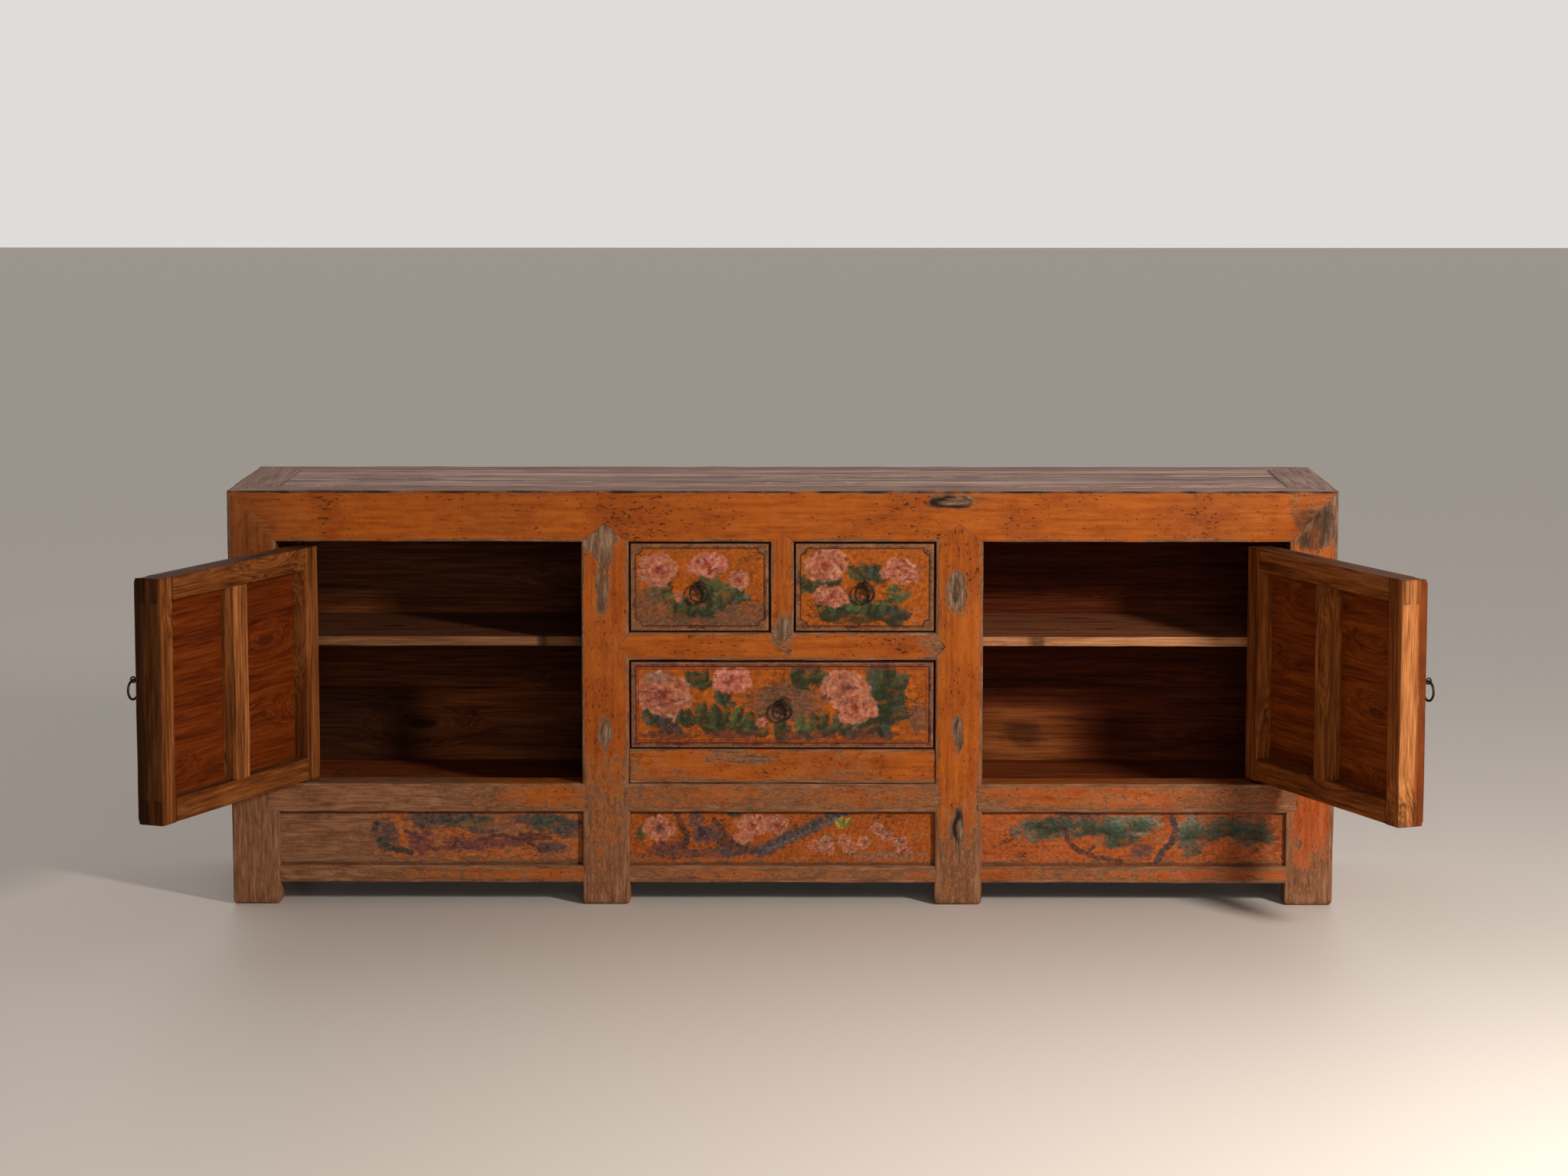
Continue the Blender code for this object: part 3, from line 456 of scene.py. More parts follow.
# Drawer frame: a rail with pointed shoulders, a divider pointed at both ends, and the apron under the
# drawers. All are lacquered pine, flush with the posts, and worn bare where rail and divider cross.
MID_IN, RAIL_POINT, DIVIDER_POINT = 0.29, 0.02, 0.022
low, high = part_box("drawer_rail")
rail_top, middle, half = high.z, (low.z + high.z) / 2, (high.z - low.z) / 2
lacquered("drawer_rail", (-MID_IN - RAIL_POINT, FRONT, low.z),
          (MID_IN + RAIL_POINT, FRONT + POST_D, high.z), 0, seed=51, pitch=RAIL_PITCH, bare=0.05,
          start=pointed(SEAM - MID_IN, -RAIL_POINT, 1, middle, half),
          end=pointed(MID_IN - SEAM, RAIL_POINT, 1, middle, half),
          patches=[(0.004, middle + 0.012, 0.02, 0.024, 0.34), (0.29, middle, 0.03, 0.03, 0.3)])
low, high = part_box("drawer_divider")
lacquered("drawer_divider", (low.x, FRONT, low.z), (high.x, FRONT + POST_D, high.z), 2, seed=52,
          pitch=RAIL_PITCH, start=pointed(rail_top + SEAM, -DIVIDER_POINT, 0, 0, high.x),
          end=pointed(RAIL_Z - SEAM, DIVIDER_POINT, 0, 0, high.x),
          patches=[(0.004, 0.53, 0.02, 0.024, 0.36)], rubbed=[(0.0, 0.54, 0.024, 0.04, 0.2)])
low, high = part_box("apron_board")
lacquered("apron_board", (-MID_IN + SEAM, FRONT, low.z), (MID_IN - SEAM, FRONT + POST_D, high.z), 0, seed=53,
          pitch=RAIL_PITCH, bare=0.09, patches=[(-0.075, 0.284, 0.07, 0.012, 0.3)])

# Sills and bottom rails between the posts; the sills lap a little way onto the posts' faces. The left sill
# is bare wood from the corner to its middle.
BAYS = ("left", "centre", "right")
SILL_BARE, BOTTOM_BARE = (0.1, 0.22, 0.1), (-0.14, 0.06, -0.1)
SILL_RUBBED = ([(-0.88, 0.207, 0.26, 0.08, 0.25)], (), ())
for number, bay in enumerate(BAYS):
    lacquered(f"sill_{bay}", *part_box(f"sill_{bay}"), 0, seed=61 + number, pitch=RAIL_PITCH,
              bare=SILL_BARE[number], rubbed=SILL_RUBBED[number])
    lacquered(f"bottom_rail_{bay}", *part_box(f"bottom_rail_{bay}"), 0, radius=RAIL_ROUND, seed=71 + number,
              pitch=RAIL_PITCH, bare=BOTTOM_BARE[number])

# Skirts: thin boards in the frame under the sills, painted with flowers, rocks and pines on orange.
# The left one has lost its paint at the left end. They sit in grooves, 14 mm behind the front.
ORANGE, RED_ORANGE = np.array([0.36, 0.078, 0.009]), np.array([0.31, 0.068, 0.013])
SALMON, PALE_PINK = np.array([0.36, 0.104, 0.05]), np.array([0.5, 0.225, 0.145])
CRIMSON, MAUVE = np.array([0.2, 0.028, 0.018]), np.array([0.098, 0.036, 0.033])
DARK_LEAF, LEAF = np.array([0.02, 0.022, 0.009]), np.array([0.048, 0.056, 0.02])
BRIGHT_LEAF, BLUE_LEAF = np.array([0.078, 0.096, 0.03]), np.array([0.043, 0.057, 0.034])
SLATE, BARK = np.array([0.046, 0.041, 0.04]), np.array([0.062, 0.027, 0.019])
BARE, DULL = np.array([0.2, 0.085, 0.04]), np.array([0.125, 0.056, 0.029])
TEAL, PALE_TEAL = np.array([0.03, 0.06, 0.042]), np.array([0.085, 0.145, 0.105])
YELLOW_LEAF = np.array([0.34, 0.28, 0.03])
SKIRT_PITCH, DARKEST, LIGHTEST = 0.0013, 0.003, 0.9


def sheet_of(low, high, pitch, ground, seed):
    """A painted face as a grid of colours over x and z: the ground colour, clouded and streaked along x."""
    x, z = (np.linspace(low[k], high[k], round((high[k] - low[k]) / pitch) + 1) for k in (0, 2))
    spots = np.stack(np.meshgrid(x, z), -1)
    shade = 1 + 0.1 * ripple(spots, 0.06, seed) + 0.07 * ripple(spots * (0.12, 1), 0.006, seed + 1)
    field = ground * shade[..., None]
    return SimpleNamespace(x=x, z=z, spots=spots, ground=field, paint=field.copy(), seed=seed,
                           wear=np.full(shade.shape, 0.08), grime=np.zeros(shade.shape))


def crumble(sheet, reach=0.0011):
    """Ages the paint: each point takes its colour from a spot moved by three ripples, so that brush edges
    break up; thin paint lets the ground through, and fine dark and light grains lie over all."""
    spots, seed = sheet.spots, sheet.seed
    rows, columns = spots.shape[:2]
    pitch = sheet.x[1] - sheet.x[0]
    moves = []
    for k in (3, 4):
        wander = 0.5 * ripple(spots, 0.013, seed + k) + 0.7 * ripple(spots, 0.0045, seed + 5 + k)
        wander += 0.7 * ripple(spots, 0.0026, seed + 7 + k)
        moves.append(np.rint(reach * wander / pitch).astype(int))
    row = np.clip(np.arange(rows)[:, None] + moves[0], 0, rows - 1)
    column = np.clip(np.arange(columns) + moves[1], 0, columns - 1)
    paint = sheet.paint[row, column]
    sheet.wear -= 0.22 * smooth(0.04, 0.2, np.linalg.norm(paint - sheet.ground, axis=-1))
    thin = ripple(spots * (0.6, 1), 0.022, seed + 11) + 0.5 * ripple(spots, 0.005, seed + 12)
    paint = blend(paint, sheet.ground, 0.35 * smooth(0.4, 1.2, thin))
    grit = 1 + 0.14 * ripple(spots, 0.012, seed + 13) + 0.12 * ripple(spots, 0.004, seed + 14)
    sheet.paint = np.clip(paint * grit[..., None], DARKEST, LIGHTEST)


def brush(sheet, x, z, reach, stroke):
    """Lays one stroke over the sheet: stroke(dx, dz) gives its colour and cover around its middle."""
    rows = slice(*np.searchsorted(sheet.z, (z - reach, z + reach)))
    columns = slice(*np.searchsorted(sheet.x, (x - reach, x + reach)))
    dx, dz = np.meshgrid(sheet.x[columns] - x, sheet.z[rows] - z)
    if dx.size:
        sheet.paint[rows, columns] = blend(sheet.paint[rows, columns], *stroke(dx, dz))


def turned(dx, dz, angle, length, width):
    """Place within a stroke: u from 0 to 1 along its angle, and v across it in half widths."""
    u = (dx * math.cos(angle) + dz * math.sin(angle)) / length + 0.5
    return u, (dz * math.cos(angle) - dx * math.sin(angle)) / width


def petal(sheet, x, z, angle, length, width, root, tip, rim):
    """A petal: an oval with a lobed outline, from its root outwards: deep at the root, pale towards the tip,
    and drawn round with a thin dark line."""
    def stroke(dx, dz):
        u, v = turned(dx, dz, angle, length, width)
        far = np.hypot((u - 0.5) / 0.5, v) / (1 + 0.09 * np.sin(5 * np.arctan2(v, u - 0.5) + 5 * angle))
        streaks = 0.5 + 0.5 * np.sin(9 * v + 3 * np.sin(4 * u + 7 * angle))
        colour = blend(root, tip, smooth(0.02, 0.62, u) * (0.85 + 0.15 * streaks))
        colour = blend(colour, rim, 0.65 * (smooth(0.45, 0.8, far) * smooth(0.4, 0.85, u)))
        drawn = smooth(0.84, 0.96, far) * (0.55 + 0.45 * np.sin(3 * angle + 4 * u))
        return blend(colour, 0.5 * root, 0.3 * drawn), 0.85 * smooth(1.08, 0.76, far)
    half, reach = 0.5 * length, 0.62 * max(length, 2 * width)
    brush(sheet, x + half * math.cos(angle), z + half * math.sin(angle), reach, stroke)


def peony(sheet, x, z, half_x, half_z, seed, root=CRIMSON, tip=SALMON, rim=PALE_PINK):
    """A peony: three rings of petals, each smaller ring laid over the last, flattened to half_x by half_z,
    then a heart of short petals and loose dabs over all."""
    rng = np.random.default_rng(seed)
    for count, reach, wide, inner in ((8, 1.0, 0.42, 0.22), (6, 0.74, 0.38, 0.08), (4, 0.48, 0.3, -0.06)):
        first = rng.uniform(0, 6.3)
        for k in range(count):
            angle = first + 2 * np.pi * k / count + rng.normal(0, 0.2)
            size = math.hypot(half_x * math.cos(angle), half_z * math.sin(angle))
            way = math.atan2(half_z * math.sin(angle), half_x * math.cos(angle))
            shade = rng.uniform(0.72, 1.12)
            petal(sheet, x + inner * size * math.cos(way), z + inner * size * math.sin(way), way,
                  (reach - inner) * size * rng.uniform(0.85, 1.12), wide * (half_x + half_z) / 2,
                  root, tip * shade, rim * shade)
    for k in range(5):
        petal(sheet, x + rng.normal(0, 0.1) * half_x, z + rng.normal(0, 0.1) * half_z, rng.uniform(0, 6.3),
              0.2 * half_x, 0.06 * half_x, root * 0.7, root, tip)
    for k in range(18):
        angle, far = rng.uniform(0, 6.3), rng.uniform(0.05, 1.0) ** 0.7
        dab = (root, rim, ORANGE, tip, root, rim)[k % 6] * rng.uniform(0.75, 1.05)
        petal(sheet, x + far * half_x * math.cos(angle), z + far * half_z * math.sin(angle),
              rng.uniform(0, 6.3), half_x * rng.uniform(0.14, 0.32), half_x * rng.uniform(0.05, 0.09),
              0.85 * dab, dab, 1.1 * dab)


def leaf(sheet, x, z, angle, length, width, dark, light):
    """A leaf: half-width width times sin(pi u), one half darker, with a pale midrib and slanting veins."""
    def stroke(dx, dz):
        u, v = turned(dx, dz, angle, length, width)
        half = np.sin(np.pi * np.clip(u, 0, 1)) ** 0.7 * (1 + 0.1 * np.sin(26 * u))
        veins = 0.5 + 0.5 * np.sin(38 * (u - 0.35 * abs(v)))
        tone = np.clip(0.4 + 0.45 * np.sign(v) * smooth(0, 0.3, abs(v)) + 0.2 * veins, 0, 1)
        tone = np.maximum(tone, 0.9 * smooth(0.1, 0.03, abs(v)))
        return blend(dark, light, tone), 0.93 * smooth(1.05, 0.85, abs(v) / np.maximum(half, 0.02))
    brush(sheet, x, z, 0.6 * max(length, 2 * width), stroke)


def leaf_spray(sheet, x, z, angle, size, seed, dark=DARK_LEAF, light=LEAF, count=3, spread=1.5):
    """Leaves that fan out from one stalk."""
    rng = np.random.default_rng(seed)
    for k in range(count):
        way = angle + spread * (k / (count - 1) - 0.5) + rng.normal(0, 0.1)
        long = size * rng.uniform(0.85, 1.1)
        half = 0.5 * long
        leaf(sheet, x + half * math.cos(way), z + half * math.sin(way), way, long, 0.3 * long, dark, light)


def sprays(sheet, *rows):
    """Leaf sprays, one for each row of x, z, angle, size and colours, with seeds from their places."""
    for x, z, angle, size, *colours in rows:
        leaf_spray(sheet, x, z, angle, size, int(5000 * (x + z + 2)), *colours)


def wash(sheet, x, z, half_x, half_z, colour, strength, seed):
    """A dry-brushed cloud of colour: an oval whose edge is broken by ripples."""
    def stroke(dx, dz):
        spots = np.stack([dx + x, dz + z], -1)
        far = np.hypot(dx / half_x, dz / half_z) + 0.18 * ripple(spots * (0.6, 1), 0.018, seed)
        far += 0.16 * ripple(spots * (0.3, 1), 0.005, seed + 1)
        tint = colour * (1 + 0.25 * ripple(spots * (0.4, 1), 0.007, seed + 2))[..., None]
        return np.clip(tint, 0.004, 1), strength * smooth(1.05, 0.7, far)
    brush(sheet, x, z, 1.3 * max(half_x, half_z), stroke)


def washes(sheet, strength, *rows):
    """Washes of one strength, one for each row of x, z, half width, half height and colour."""
    for x, z, half_x, half_z, colour in rows:
        wash(sheet, x, z, half_x, half_z, colour, strength, int(1000 * (x + 2)))


def line(sheet, path, width, colour, strength=0.9):
    """A drawn line: full where the distance to the path's nearest segment is under half its width."""
    path = np.array(path, float)
    middle = (path.min(0) + path.max(0)) / 2

    def stroke(dx, dz):
        place = np.stack([dx, dz], -1) + middle
        gap = np.full(dx.shape, np.inf)
        for a, b in zip(path[:-1], path[1:]):
            t = np.clip(((place - a) @ (b - a)) / ((b - a) @ (b - a)), 0, 1)
            gap = np.minimum(gap, np.linalg.norm(place - a - t[..., None] * (b - a), axis=-1))
        rough = 1 + 0.25 * ripple(place, 0.012, 5)
        light = 1 + 0.5 * smooth(0.9, 0.2, gap / width * 2) * ripple(place, 0.01, 6)
        cover = strength * smooth(0.62, 0.38, gap / (width * rough))
        return np.clip(colour * light[..., None], DARKEST, 1), cover
    brush(sheet, *middle, (path.max(0) - path.min(0)).max() / 2 + 2 * width, stroke)


def pine_fan(sheet, x, z, size, angle, dark, light):
    """A fan of pine needles: rays over a half circle round its stalk, dark between and light on the rays."""
    def stroke(dx, dz):
        far = np.hypot(dx, dz * 1.35) / size
        turn = abs((np.arctan2(dz, dx) - angle + np.pi) % (2 * np.pi) - np.pi)
        rays = 0.5 + 0.5 * np.sin(34 * turn + 2 * far)
        cover = smooth(1.05, 0.75, far + 0.18 * rays) * smooth(1.9, 1.5, turn)
        return blend(dark, light, rays * smooth(0.1, 0.8, far)), 0.9 * cover * (0.65 + 0.35 * rays)
    brush(sheet, x, z, 1.1 * size, stroke)


def wear_spot(sheet, x, z, half_x, half_z, strength):
    """Adds a soft-edged worn oval to a sheet."""
    far = np.hypot((sheet.spots[..., 0] - x) / half_x, (sheet.spots[..., 1] - z) / half_z)
    sheet.wear += strength * smooth(1.3, 0.6, far + 0.2 * ripple(sheet.spots, 0.03, 77))


def painted_coat():
    """Old oil paint: the stored colours, mottled and finely cracked, worn to the wood where noted."""
    material, tree = new_material("painted_ground")
    grain = stored(tree, "grain", "Vector")
    mottle = speckle(grain, 160, 5, 0.65)
    tint = shades(mottle, (0.3, (0.62, 0.6, 0.58)), (0.52, (1, 1, 1)), (0.72, (1.22, 1.22, 1.22)))
    paint = mixed(1.0, stored(tree, "paint", "Color"), tint, "MULTIPLY")
    cracked = crackle(grain, 42, 0.014)
    paint = mixed(cracked * 0.8, paint, (0.03, 0.012, 0.006))
    colour, worn = wear_through(paint, grain)
    # Grime and painted shade from the stored field darken the paint.
    colour = mixed(stored(tree, "grime"), colour, (0.022, 0.01, 0.005))
    rough = worn * 0.3 + mottle * 0.5 + 0.2
    dress(colour, rough, mottle * 0.4 - worn * 0.5 - cracked, 0.001, sheen=0.11)
    return material


PAINTED = painted_coat()


def stay(points):
    """Leaves points where they are."""
    return points


def painted_board(name, sheet, face_y, back_y, body, node, turn=stay):
    """A board with a painted face: the sheet's grid at y = face_y, its rim carried back to back_y."""
    x, z = np.meshgrid(sheet.x, sheet.z)
    front = np.stack([x, np.broadcast_to(face_y, x.shape), z], -1).reshape(-1, 3)
    last = len(front)
    index = np.arange(last).reshape(x.shape)
    rim = np.concatenate([index[0, :-1], index[:-1, -1], index[-1, :0:-1], index[:0:-1, 0]])
    points = np.concatenate([front, front[rim] * (1, 0, 1) + (0, back_y, 0)])
    quads = np.stack([index[:-1, :-1], index[:-1, 1:], index[1:, 1:], index[1:, :-1]], -1).reshape(-1, 4)
    k = np.arange(len(rim))
    on = (k + 1) % len(rim)
    walls = np.stack([rim, last + k, last + on, rim[on]], -1)
    faces = quads.tolist() + walls.tolist() + [(last + k[::-1]).tolist()]

    def with_rim(field, behind):
        """A field of the face, and one value for all points of the back."""
        return np.concatenate([field.reshape(last, -1), np.tile(behind, (len(rim), 1))]).squeeze()

    put(name, turn(points), faces, body, node, PAINTED, "painted_field", grey=np.zeros(len(points)),
        grain=points + np.random.default_rng(sheet.seed).uniform(-1, 1, 3), wear=with_rim(sheet.wear, 0.6),
        grime=with_rim(sheet.grime, 0.5), paint=np.clip(with_rim(sheet.paint, BARE), DARKEST, LIGHTEST))


skirts = {}
for number, (bay, ground) in enumerate(zip(BAYS, (ORANGE, 0.78 * ORANGE, RED_ORANGE))):
    art = skirts[bay] = sheet_of(*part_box(f"skirt_panel_{bay}"), SKIRT_PITCH, ground, 100 + number)
    art.wear += 0.12 + 0.25 * smooth(0.095, 0.078, art.spots[..., 1])

art = skirts["left"]
art.paint = blend(art.paint, BARE, 0.3 + 0.7 * smooth(-0.74, -0.82, art.spots[..., 0]))
art.ground = art.paint.copy()
art.wear += 0.28 * smooth(-0.72, -0.84, art.spots[..., 0]) + 0.16
washes(art, 0.82, (-0.9, 0.171, 0.05, 0.01, MAUVE), (-0.64, 0.168, 0.09, 0.013, SLATE),
       (-0.6, 0.158, 0.07, 0.014, 0.7 * TEAL), (-0.68, 0.156, 0.035, 0.014, SLATE),
       (-0.47, 0.164, 0.06, 0.014, SLATE), (-0.44, 0.153, 0.05, 0.018, 0.8 * TEAL),
       (-0.41, 0.146, 0.03, 0.022, SLATE), (-0.76, 0.14, 0.028, 0.02, SLATE),
       (-0.755, 0.115, 0.026, 0.02, SLATE), (-0.69, 0.12, 0.026, 0.028, MAUVE),
       (-0.6, 0.116, 0.05, 0.016, MAUVE), (-0.53, 0.118, 0.04, 0.012, MAUVE),
       (-0.48, 0.13, 0.05, 0.01, BARK), (-0.44, 0.108, 0.04, 0.012, SLATE), (-0.52, 0.142, 0.04, 0.01, BARE),
       (-0.57, 0.14, 0.03, 0.01, SLATE))
line(art, [(-0.775, 0.155), (-0.782, 0.135), (-0.765, 0.115), (-0.735, 0.104), (-0.71, 0.098)], 0.011,
     SLATE * 0.7)
line(art, [(-0.72, 0.14), (-0.69, 0.122), (-0.665, 0.104), (-0.62, 0.112), (-0.575, 0.104)], 0.008, MAUVE)
line(art, [(-0.58, 0.125), (-0.53, 0.133), (-0.49, 0.12), (-0.46, 0.105)], 0.007, BARK)
wear_spot(art, -0.56, 0.15, 0.05, 0.01, 0.25)

art = skirts["centre"]
washes(art, 0.85, (-0.163, 0.164, 0.015, 0.022, SLATE), (-0.124, 0.138, 0.014, 0.022, SLATE),
       (-0.17, 0.097, 0.12, 0.011, BARK * 1.5), (-0.085, 0.104, 0.04, 0.014, SLATE),
       (-0.092, 0.173, 0.016, 0.008, 0.7 * TEAL), (-0.105, 0.118, 0.022, 0.014, BARK),
       (-0.215, 0.112, 0.04, 0.01, MAUVE), (-0.27, 0.136, 0.012, 0.014, LEAF),
       (0.2, 0.094, 0.08, 0.01, BARE))
line(art, [(-0.203, 0.182), (-0.194, 0.155), (-0.181, 0.13), (-0.186, 0.11)], 0.012, BARK)
line(art, [(-0.13, 0.162), (-0.117, 0.146), (-0.1, 0.122), (-0.078, 0.108), (-0.045, 0.102)], 0.01, BARK)
peony(art, -0.236, 0.145, 0.034, 0.026, 201, MAUVE)
peony(art, -0.152, 0.134, 0.022, 0.02, 202, SLATE * 0.4, MAUVE, SLATE * 2)
peony(art, -0.057, 0.153, 0.033, 0.022, 203)
peony(art, -0.01, 0.152, 0.028, 0.021, 204, CRIMSON, SALMON * 0.8)
peony(art, -0.073, 0.128, 0.02, 0.013, 205, SALMON)
line(art, [(-0.04, 0.102), (0.03, 0.136), (0.075, 0.158), (0.13, 0.186)], 0.024, SLATE)
line(art, [(-0.035, 0.101), (0.045, 0.137), (0.115, 0.17)], 0.007, SLATE * 2.2, 0.6)
blooms = ((0.063, 0.112), (0.084, 0.12), (0.087, 0.106), (0.118, 0.122), (0.13, 0.108), (0.157, 0.119),
          (0.182, 0.145), (0.2, 0.132), (0.226, 0.12), (0.234, 0.103))
for k, (x, z) in enumerate(blooms):
    leaf_spray(art, x, z, k * 1.3, 0.016, 300 + k, LEAF, BRIGHT_LEAF)
    peony(art, x, z, 0.015, 0.012, 310 + k, MAUVE if k % 3 else CRIMSON)
leaf_spray(art, 0.115, 0.148, 1.5, 0.022, 320, BRIGHT_LEAF, YELLOW_LEAF)

art = skirts["right"]
# The last wash, a darker red-orange at the panel's right end, is the post's painted shadow.
washes(art, 0.72, (0.484, 0.142, 0.05, 0.024, TEAL * 1.4), (0.542, 0.15, 0.045, 0.026, TEAL),
       (0.6, 0.15, 0.055, 0.022, TEAL), (0.658, 0.15, 0.05, 0.026, PALE_TEAL),
       (0.697, 0.158, 0.03, 0.016, PALE_TEAL), (0.639, 0.122, 0.035, 0.016, TEAL),
       (0.78, 0.145, 0.03, 0.032, PALE_TEAL), (0.781, 0.112, 0.028, 0.024, TEAL),
       (0.843, 0.148, 0.045, 0.024, TEAL), (0.896, 0.14, 0.045, 0.034, TEAL),
       (0.566, 0.172, 0.06, 0.008, BARK * 2), (0.687, 0.102, 0.024, 0.018, SLATE),
       (0.954, 0.14, 0.03, 0.05, RED_ORANGE * 0.6))
for fan in ((0.522, 0.138, 0.05, 2.0), (0.493, 0.146, 0.036, 1.6), (0.59, 0.134, 0.048, 1.6),
            (0.624, 0.132, 0.04, 1.2), (0.653, 0.116, 0.04, 1.8), (0.678, 0.14, 0.042, 1.6),
            (0.784, 0.126, 0.045, 1.6), (0.852, 0.132, 0.048, 1.8), (0.901, 0.124, 0.05, 1.4)):
    pine_fan(art, *fan, DARK_LEAF, TEAL * 1.3)
line(art, [(0.537, 0.15), (0.545, 0.125), (0.561, 0.105), (0.6, 0.09), (0.646, 0.083)], 0.01, BARK)
line(art, [(0.581, 0.098), (0.595, 0.11)], 0.006, BARK)
line(art, [(0.743, 0.165), (0.751, 0.145), (0.743, 0.12), (0.724, 0.1), (0.716, 0.084)], 0.013, SLATE * 0.8)
for bay, art in skirts.items():
    low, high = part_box(f"skirt_panel_{bay}")
    crumble(art)
    z = art.spots[..., 1]
    # Painted shade: a dark band along the top, where the sill shades the sunken board, and darker along the
    # bottom.
    art.grime = np.maximum(0.75 * smooth(0.172, 0.18, z), 0.5 * smooth(0.083, 0.077, z))
    painted_board(f"skirt_{bay}_painted", art, low.y, high.y, "cabinet", f"skirt_panel_{bay}")

# Top: three long pine planks, bleached grey-brown and split along the grain, let into the mitred frame.
# Back: four wide pine boards laid across; the inside is stained dark and the outside is dusty bare wood.
PLANK_END, PLANK_GAP, PLANK_SIDES = 0.9577, 0.0004, (0.0803, 0.1917, 0.3033, 0.4147)
PLANK_DROP, PLANK_TONE = (0.0, 0.0007, 0.0003), (1.15, 1.0, 1.2)
COURSE_Z, COURSE_LAP, COURSE_IN = (0.196, 0.352, 0.533), 0.001, (0, 0.0006, 0, 0.0004)
COURSE_SHADE = (0.9, 0.7, 0.87, np.array([1.08, 1.3, 1.9]))
RED_BAY, LIGHT_POOL_TINT = np.array([0.72, 0.49, 0.42]), np.array([0.7, 1.5, 1.3])
DUSTY_BACK = np.array([1.1, 2.3, 4.8])


def pine_coat(name, dark, mid, light, knots, gloss):
    """Pine: lines along the grain that swirl round knots, with a stored tone and a stored lacquer coat."""
    material, tree = new_material(name)
    grain = stored(tree, "grain", "Vector")
    cells = {"Vector": stretched(grain, 2.6, 8, 8), "Scale": 1.0}
    knot = add(tree, "ShaderNodeTexVoronoi", cells, "Distance", feature="F1")
    swirl = between(knot, 0.4, 0.02) * 0.045
    pushed = add(tree, "ShaderNodeCombineXYZ", {"X": 0.0, "Y": swirl, "Z": swirl}, "Vector")
    lengthwise = stretched(grain, 0.045, 1, 1)
    flow = add(tree, "ShaderNodeVectorMath", {0: lengthwise, 1: pushed}, "Vector", operation="ADD")
    lines = speckle(flow, 190, 6, 0.68)
    bands = speckle(flow, 40, 3, 0.5)
    colour = shades(lines * 0.65 + bands * 0.35, (0.38, dark), (0.5, mid), (0.62, light))
    heart = (dark[0] * 0.4, dark[1] * 0.35, dark[2] * 0.35)
    colour = mixed(between(knot, 0.11, 0.05) * knots, colour, heart)
    colour = mixed(1.0, colour, stored(tree, "tone", "Color"), "MULTIPLY")
    ragged = speckle(grain, 90, 6, 0.65, along=0.5) - 0.5
    film = speckle(grain, 70, 6, 0.65, along=0.2)
    red = shades(film, (0.3, (0.15, 0.026, 0.004)), (0.5, (0.29, 0.055, 0.006)), (0.7, (0.37, 0.085, 0.01)))
    colour = mixed(between(stored(tree, "coat") + ragged, 0.42, 0.58), colour, red)
    colour = mixed(stored(tree, "grime"), colour, (0.018, 0.008, 0.004))
    dress(colour, lines * 0.4 + gloss, lines, 0.001, sheen=0.06)
    return material


WEATHERED = pine_coat("weathered_planks", (0.07, 0.034, 0.024), (0.31, 0.182, 0.142), (0.57, 0.4, 0.34),
                      knots=0.5, gloss=0.45)
STAINED = pine_coat("dark_stained_pine", (0.055, 0.012, 0.003), (0.13, 0.033, 0.008), (0.215, 0.062, 0.017),
                    knots=0.8, gloss=0.4)


def board(name, low, high, axis, body, node, material, slot, radius=0.002, tone=1.0, coat=None, dirt=None,
          turn=stay, **form):
    """A pine board: a sawn length with eased arrises; tone, coat and dirt may be functions of its points."""
    points, faces, grain, _, end = timber_form(low, high, axis, radius, **form)
    tones = tone(points) if callable(tone) else np.ones((len(points), 3)) * tone
    coats = coat(points) if coat else np.zeros(len(points))
    grime = 0.5 * np.exp(-end / 0.0015) * (radius < 0.0025)
    put(name, turn(points), faces, body, node, material, slot, grain=grain, tone=tones, coat=coats,
        grime=np.maximum(grime, dirt(points)) if dirt else grime)


def back_tone(points, shade):
    """Tone of a back board: redder and darker in the right bay, with a painted pool of light round a dark
    knot at that bay's lower left; low in the left bay, painted light in the middle and painted shade at the
    left end;
    and dusty grey-brown on the outer side."""
    x, y, z = points.T
    tone = blend(shade, RED_BAY, smooth(0.2, 0.4, x))
    # Painted light: an amber pool where the window light falls, low at the right bay's left.
    light_pool = smooth(0.325, 0.3, z) * smooth(0.36, 0.42, x) * smooth(0.62, 0.54, x)
    knot = spot(points, 0.482, 0.258, 0.042, 0.022)
    tone = tone * (1 + light_pool[:, None] * LIGHT_POOL_TINT) * (1 - 0.6 * knot)[:, None]
    # Painted light and shade low in the left bay: lighter in the middle, darker at its left end.
    painted_light_and_shade = 0.7 * smooth(-0.76, -0.66, x) * smooth(-0.36, -0.42, x) - 0.65 * smooth(-0.7, -0.78, x)
    tone = tone * (1 + smooth(0.356, 0.35, z) * painted_light_and_shade)[:, None]
    return blend(tone, DUSTY_BACK * shade, smooth(0.46, 0.47, y))


low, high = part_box("top_board")
for k in range(3):
    board(f"top_plank_{k + 1}", (-PLANK_END, PLANK_SIDES[k] + PLANK_GAP, low.z),
          (PLANK_END, PLANK_SIDES[k + 1] - PLANK_GAP, high.z - PLANK_DROP[k]), 0, "cabinet", "top_board",
          WEATHERED, "weathered_top", radius=0.0018, tone=PLANK_TONE[k], seed=81 + k)
low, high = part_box("back_panel")
feet, heads = (low.z, *COURSE_Z), (*(z + COURSE_LAP for z in COURSE_Z), high.z)
for k in range(4):
    board(f"back_board_{k + 1}", (low.x, low.y + COURSE_IN[k], feet[k]), (high.x, high.y, heads[k]), 0,
          "cabinet", "back_panel", STAINED, "stained_inner_pine", radius=0.0015, pitch=0.012, seed=91 + k,
          tone=lambda p: back_tone(p, COURSE_SHADE[k]))

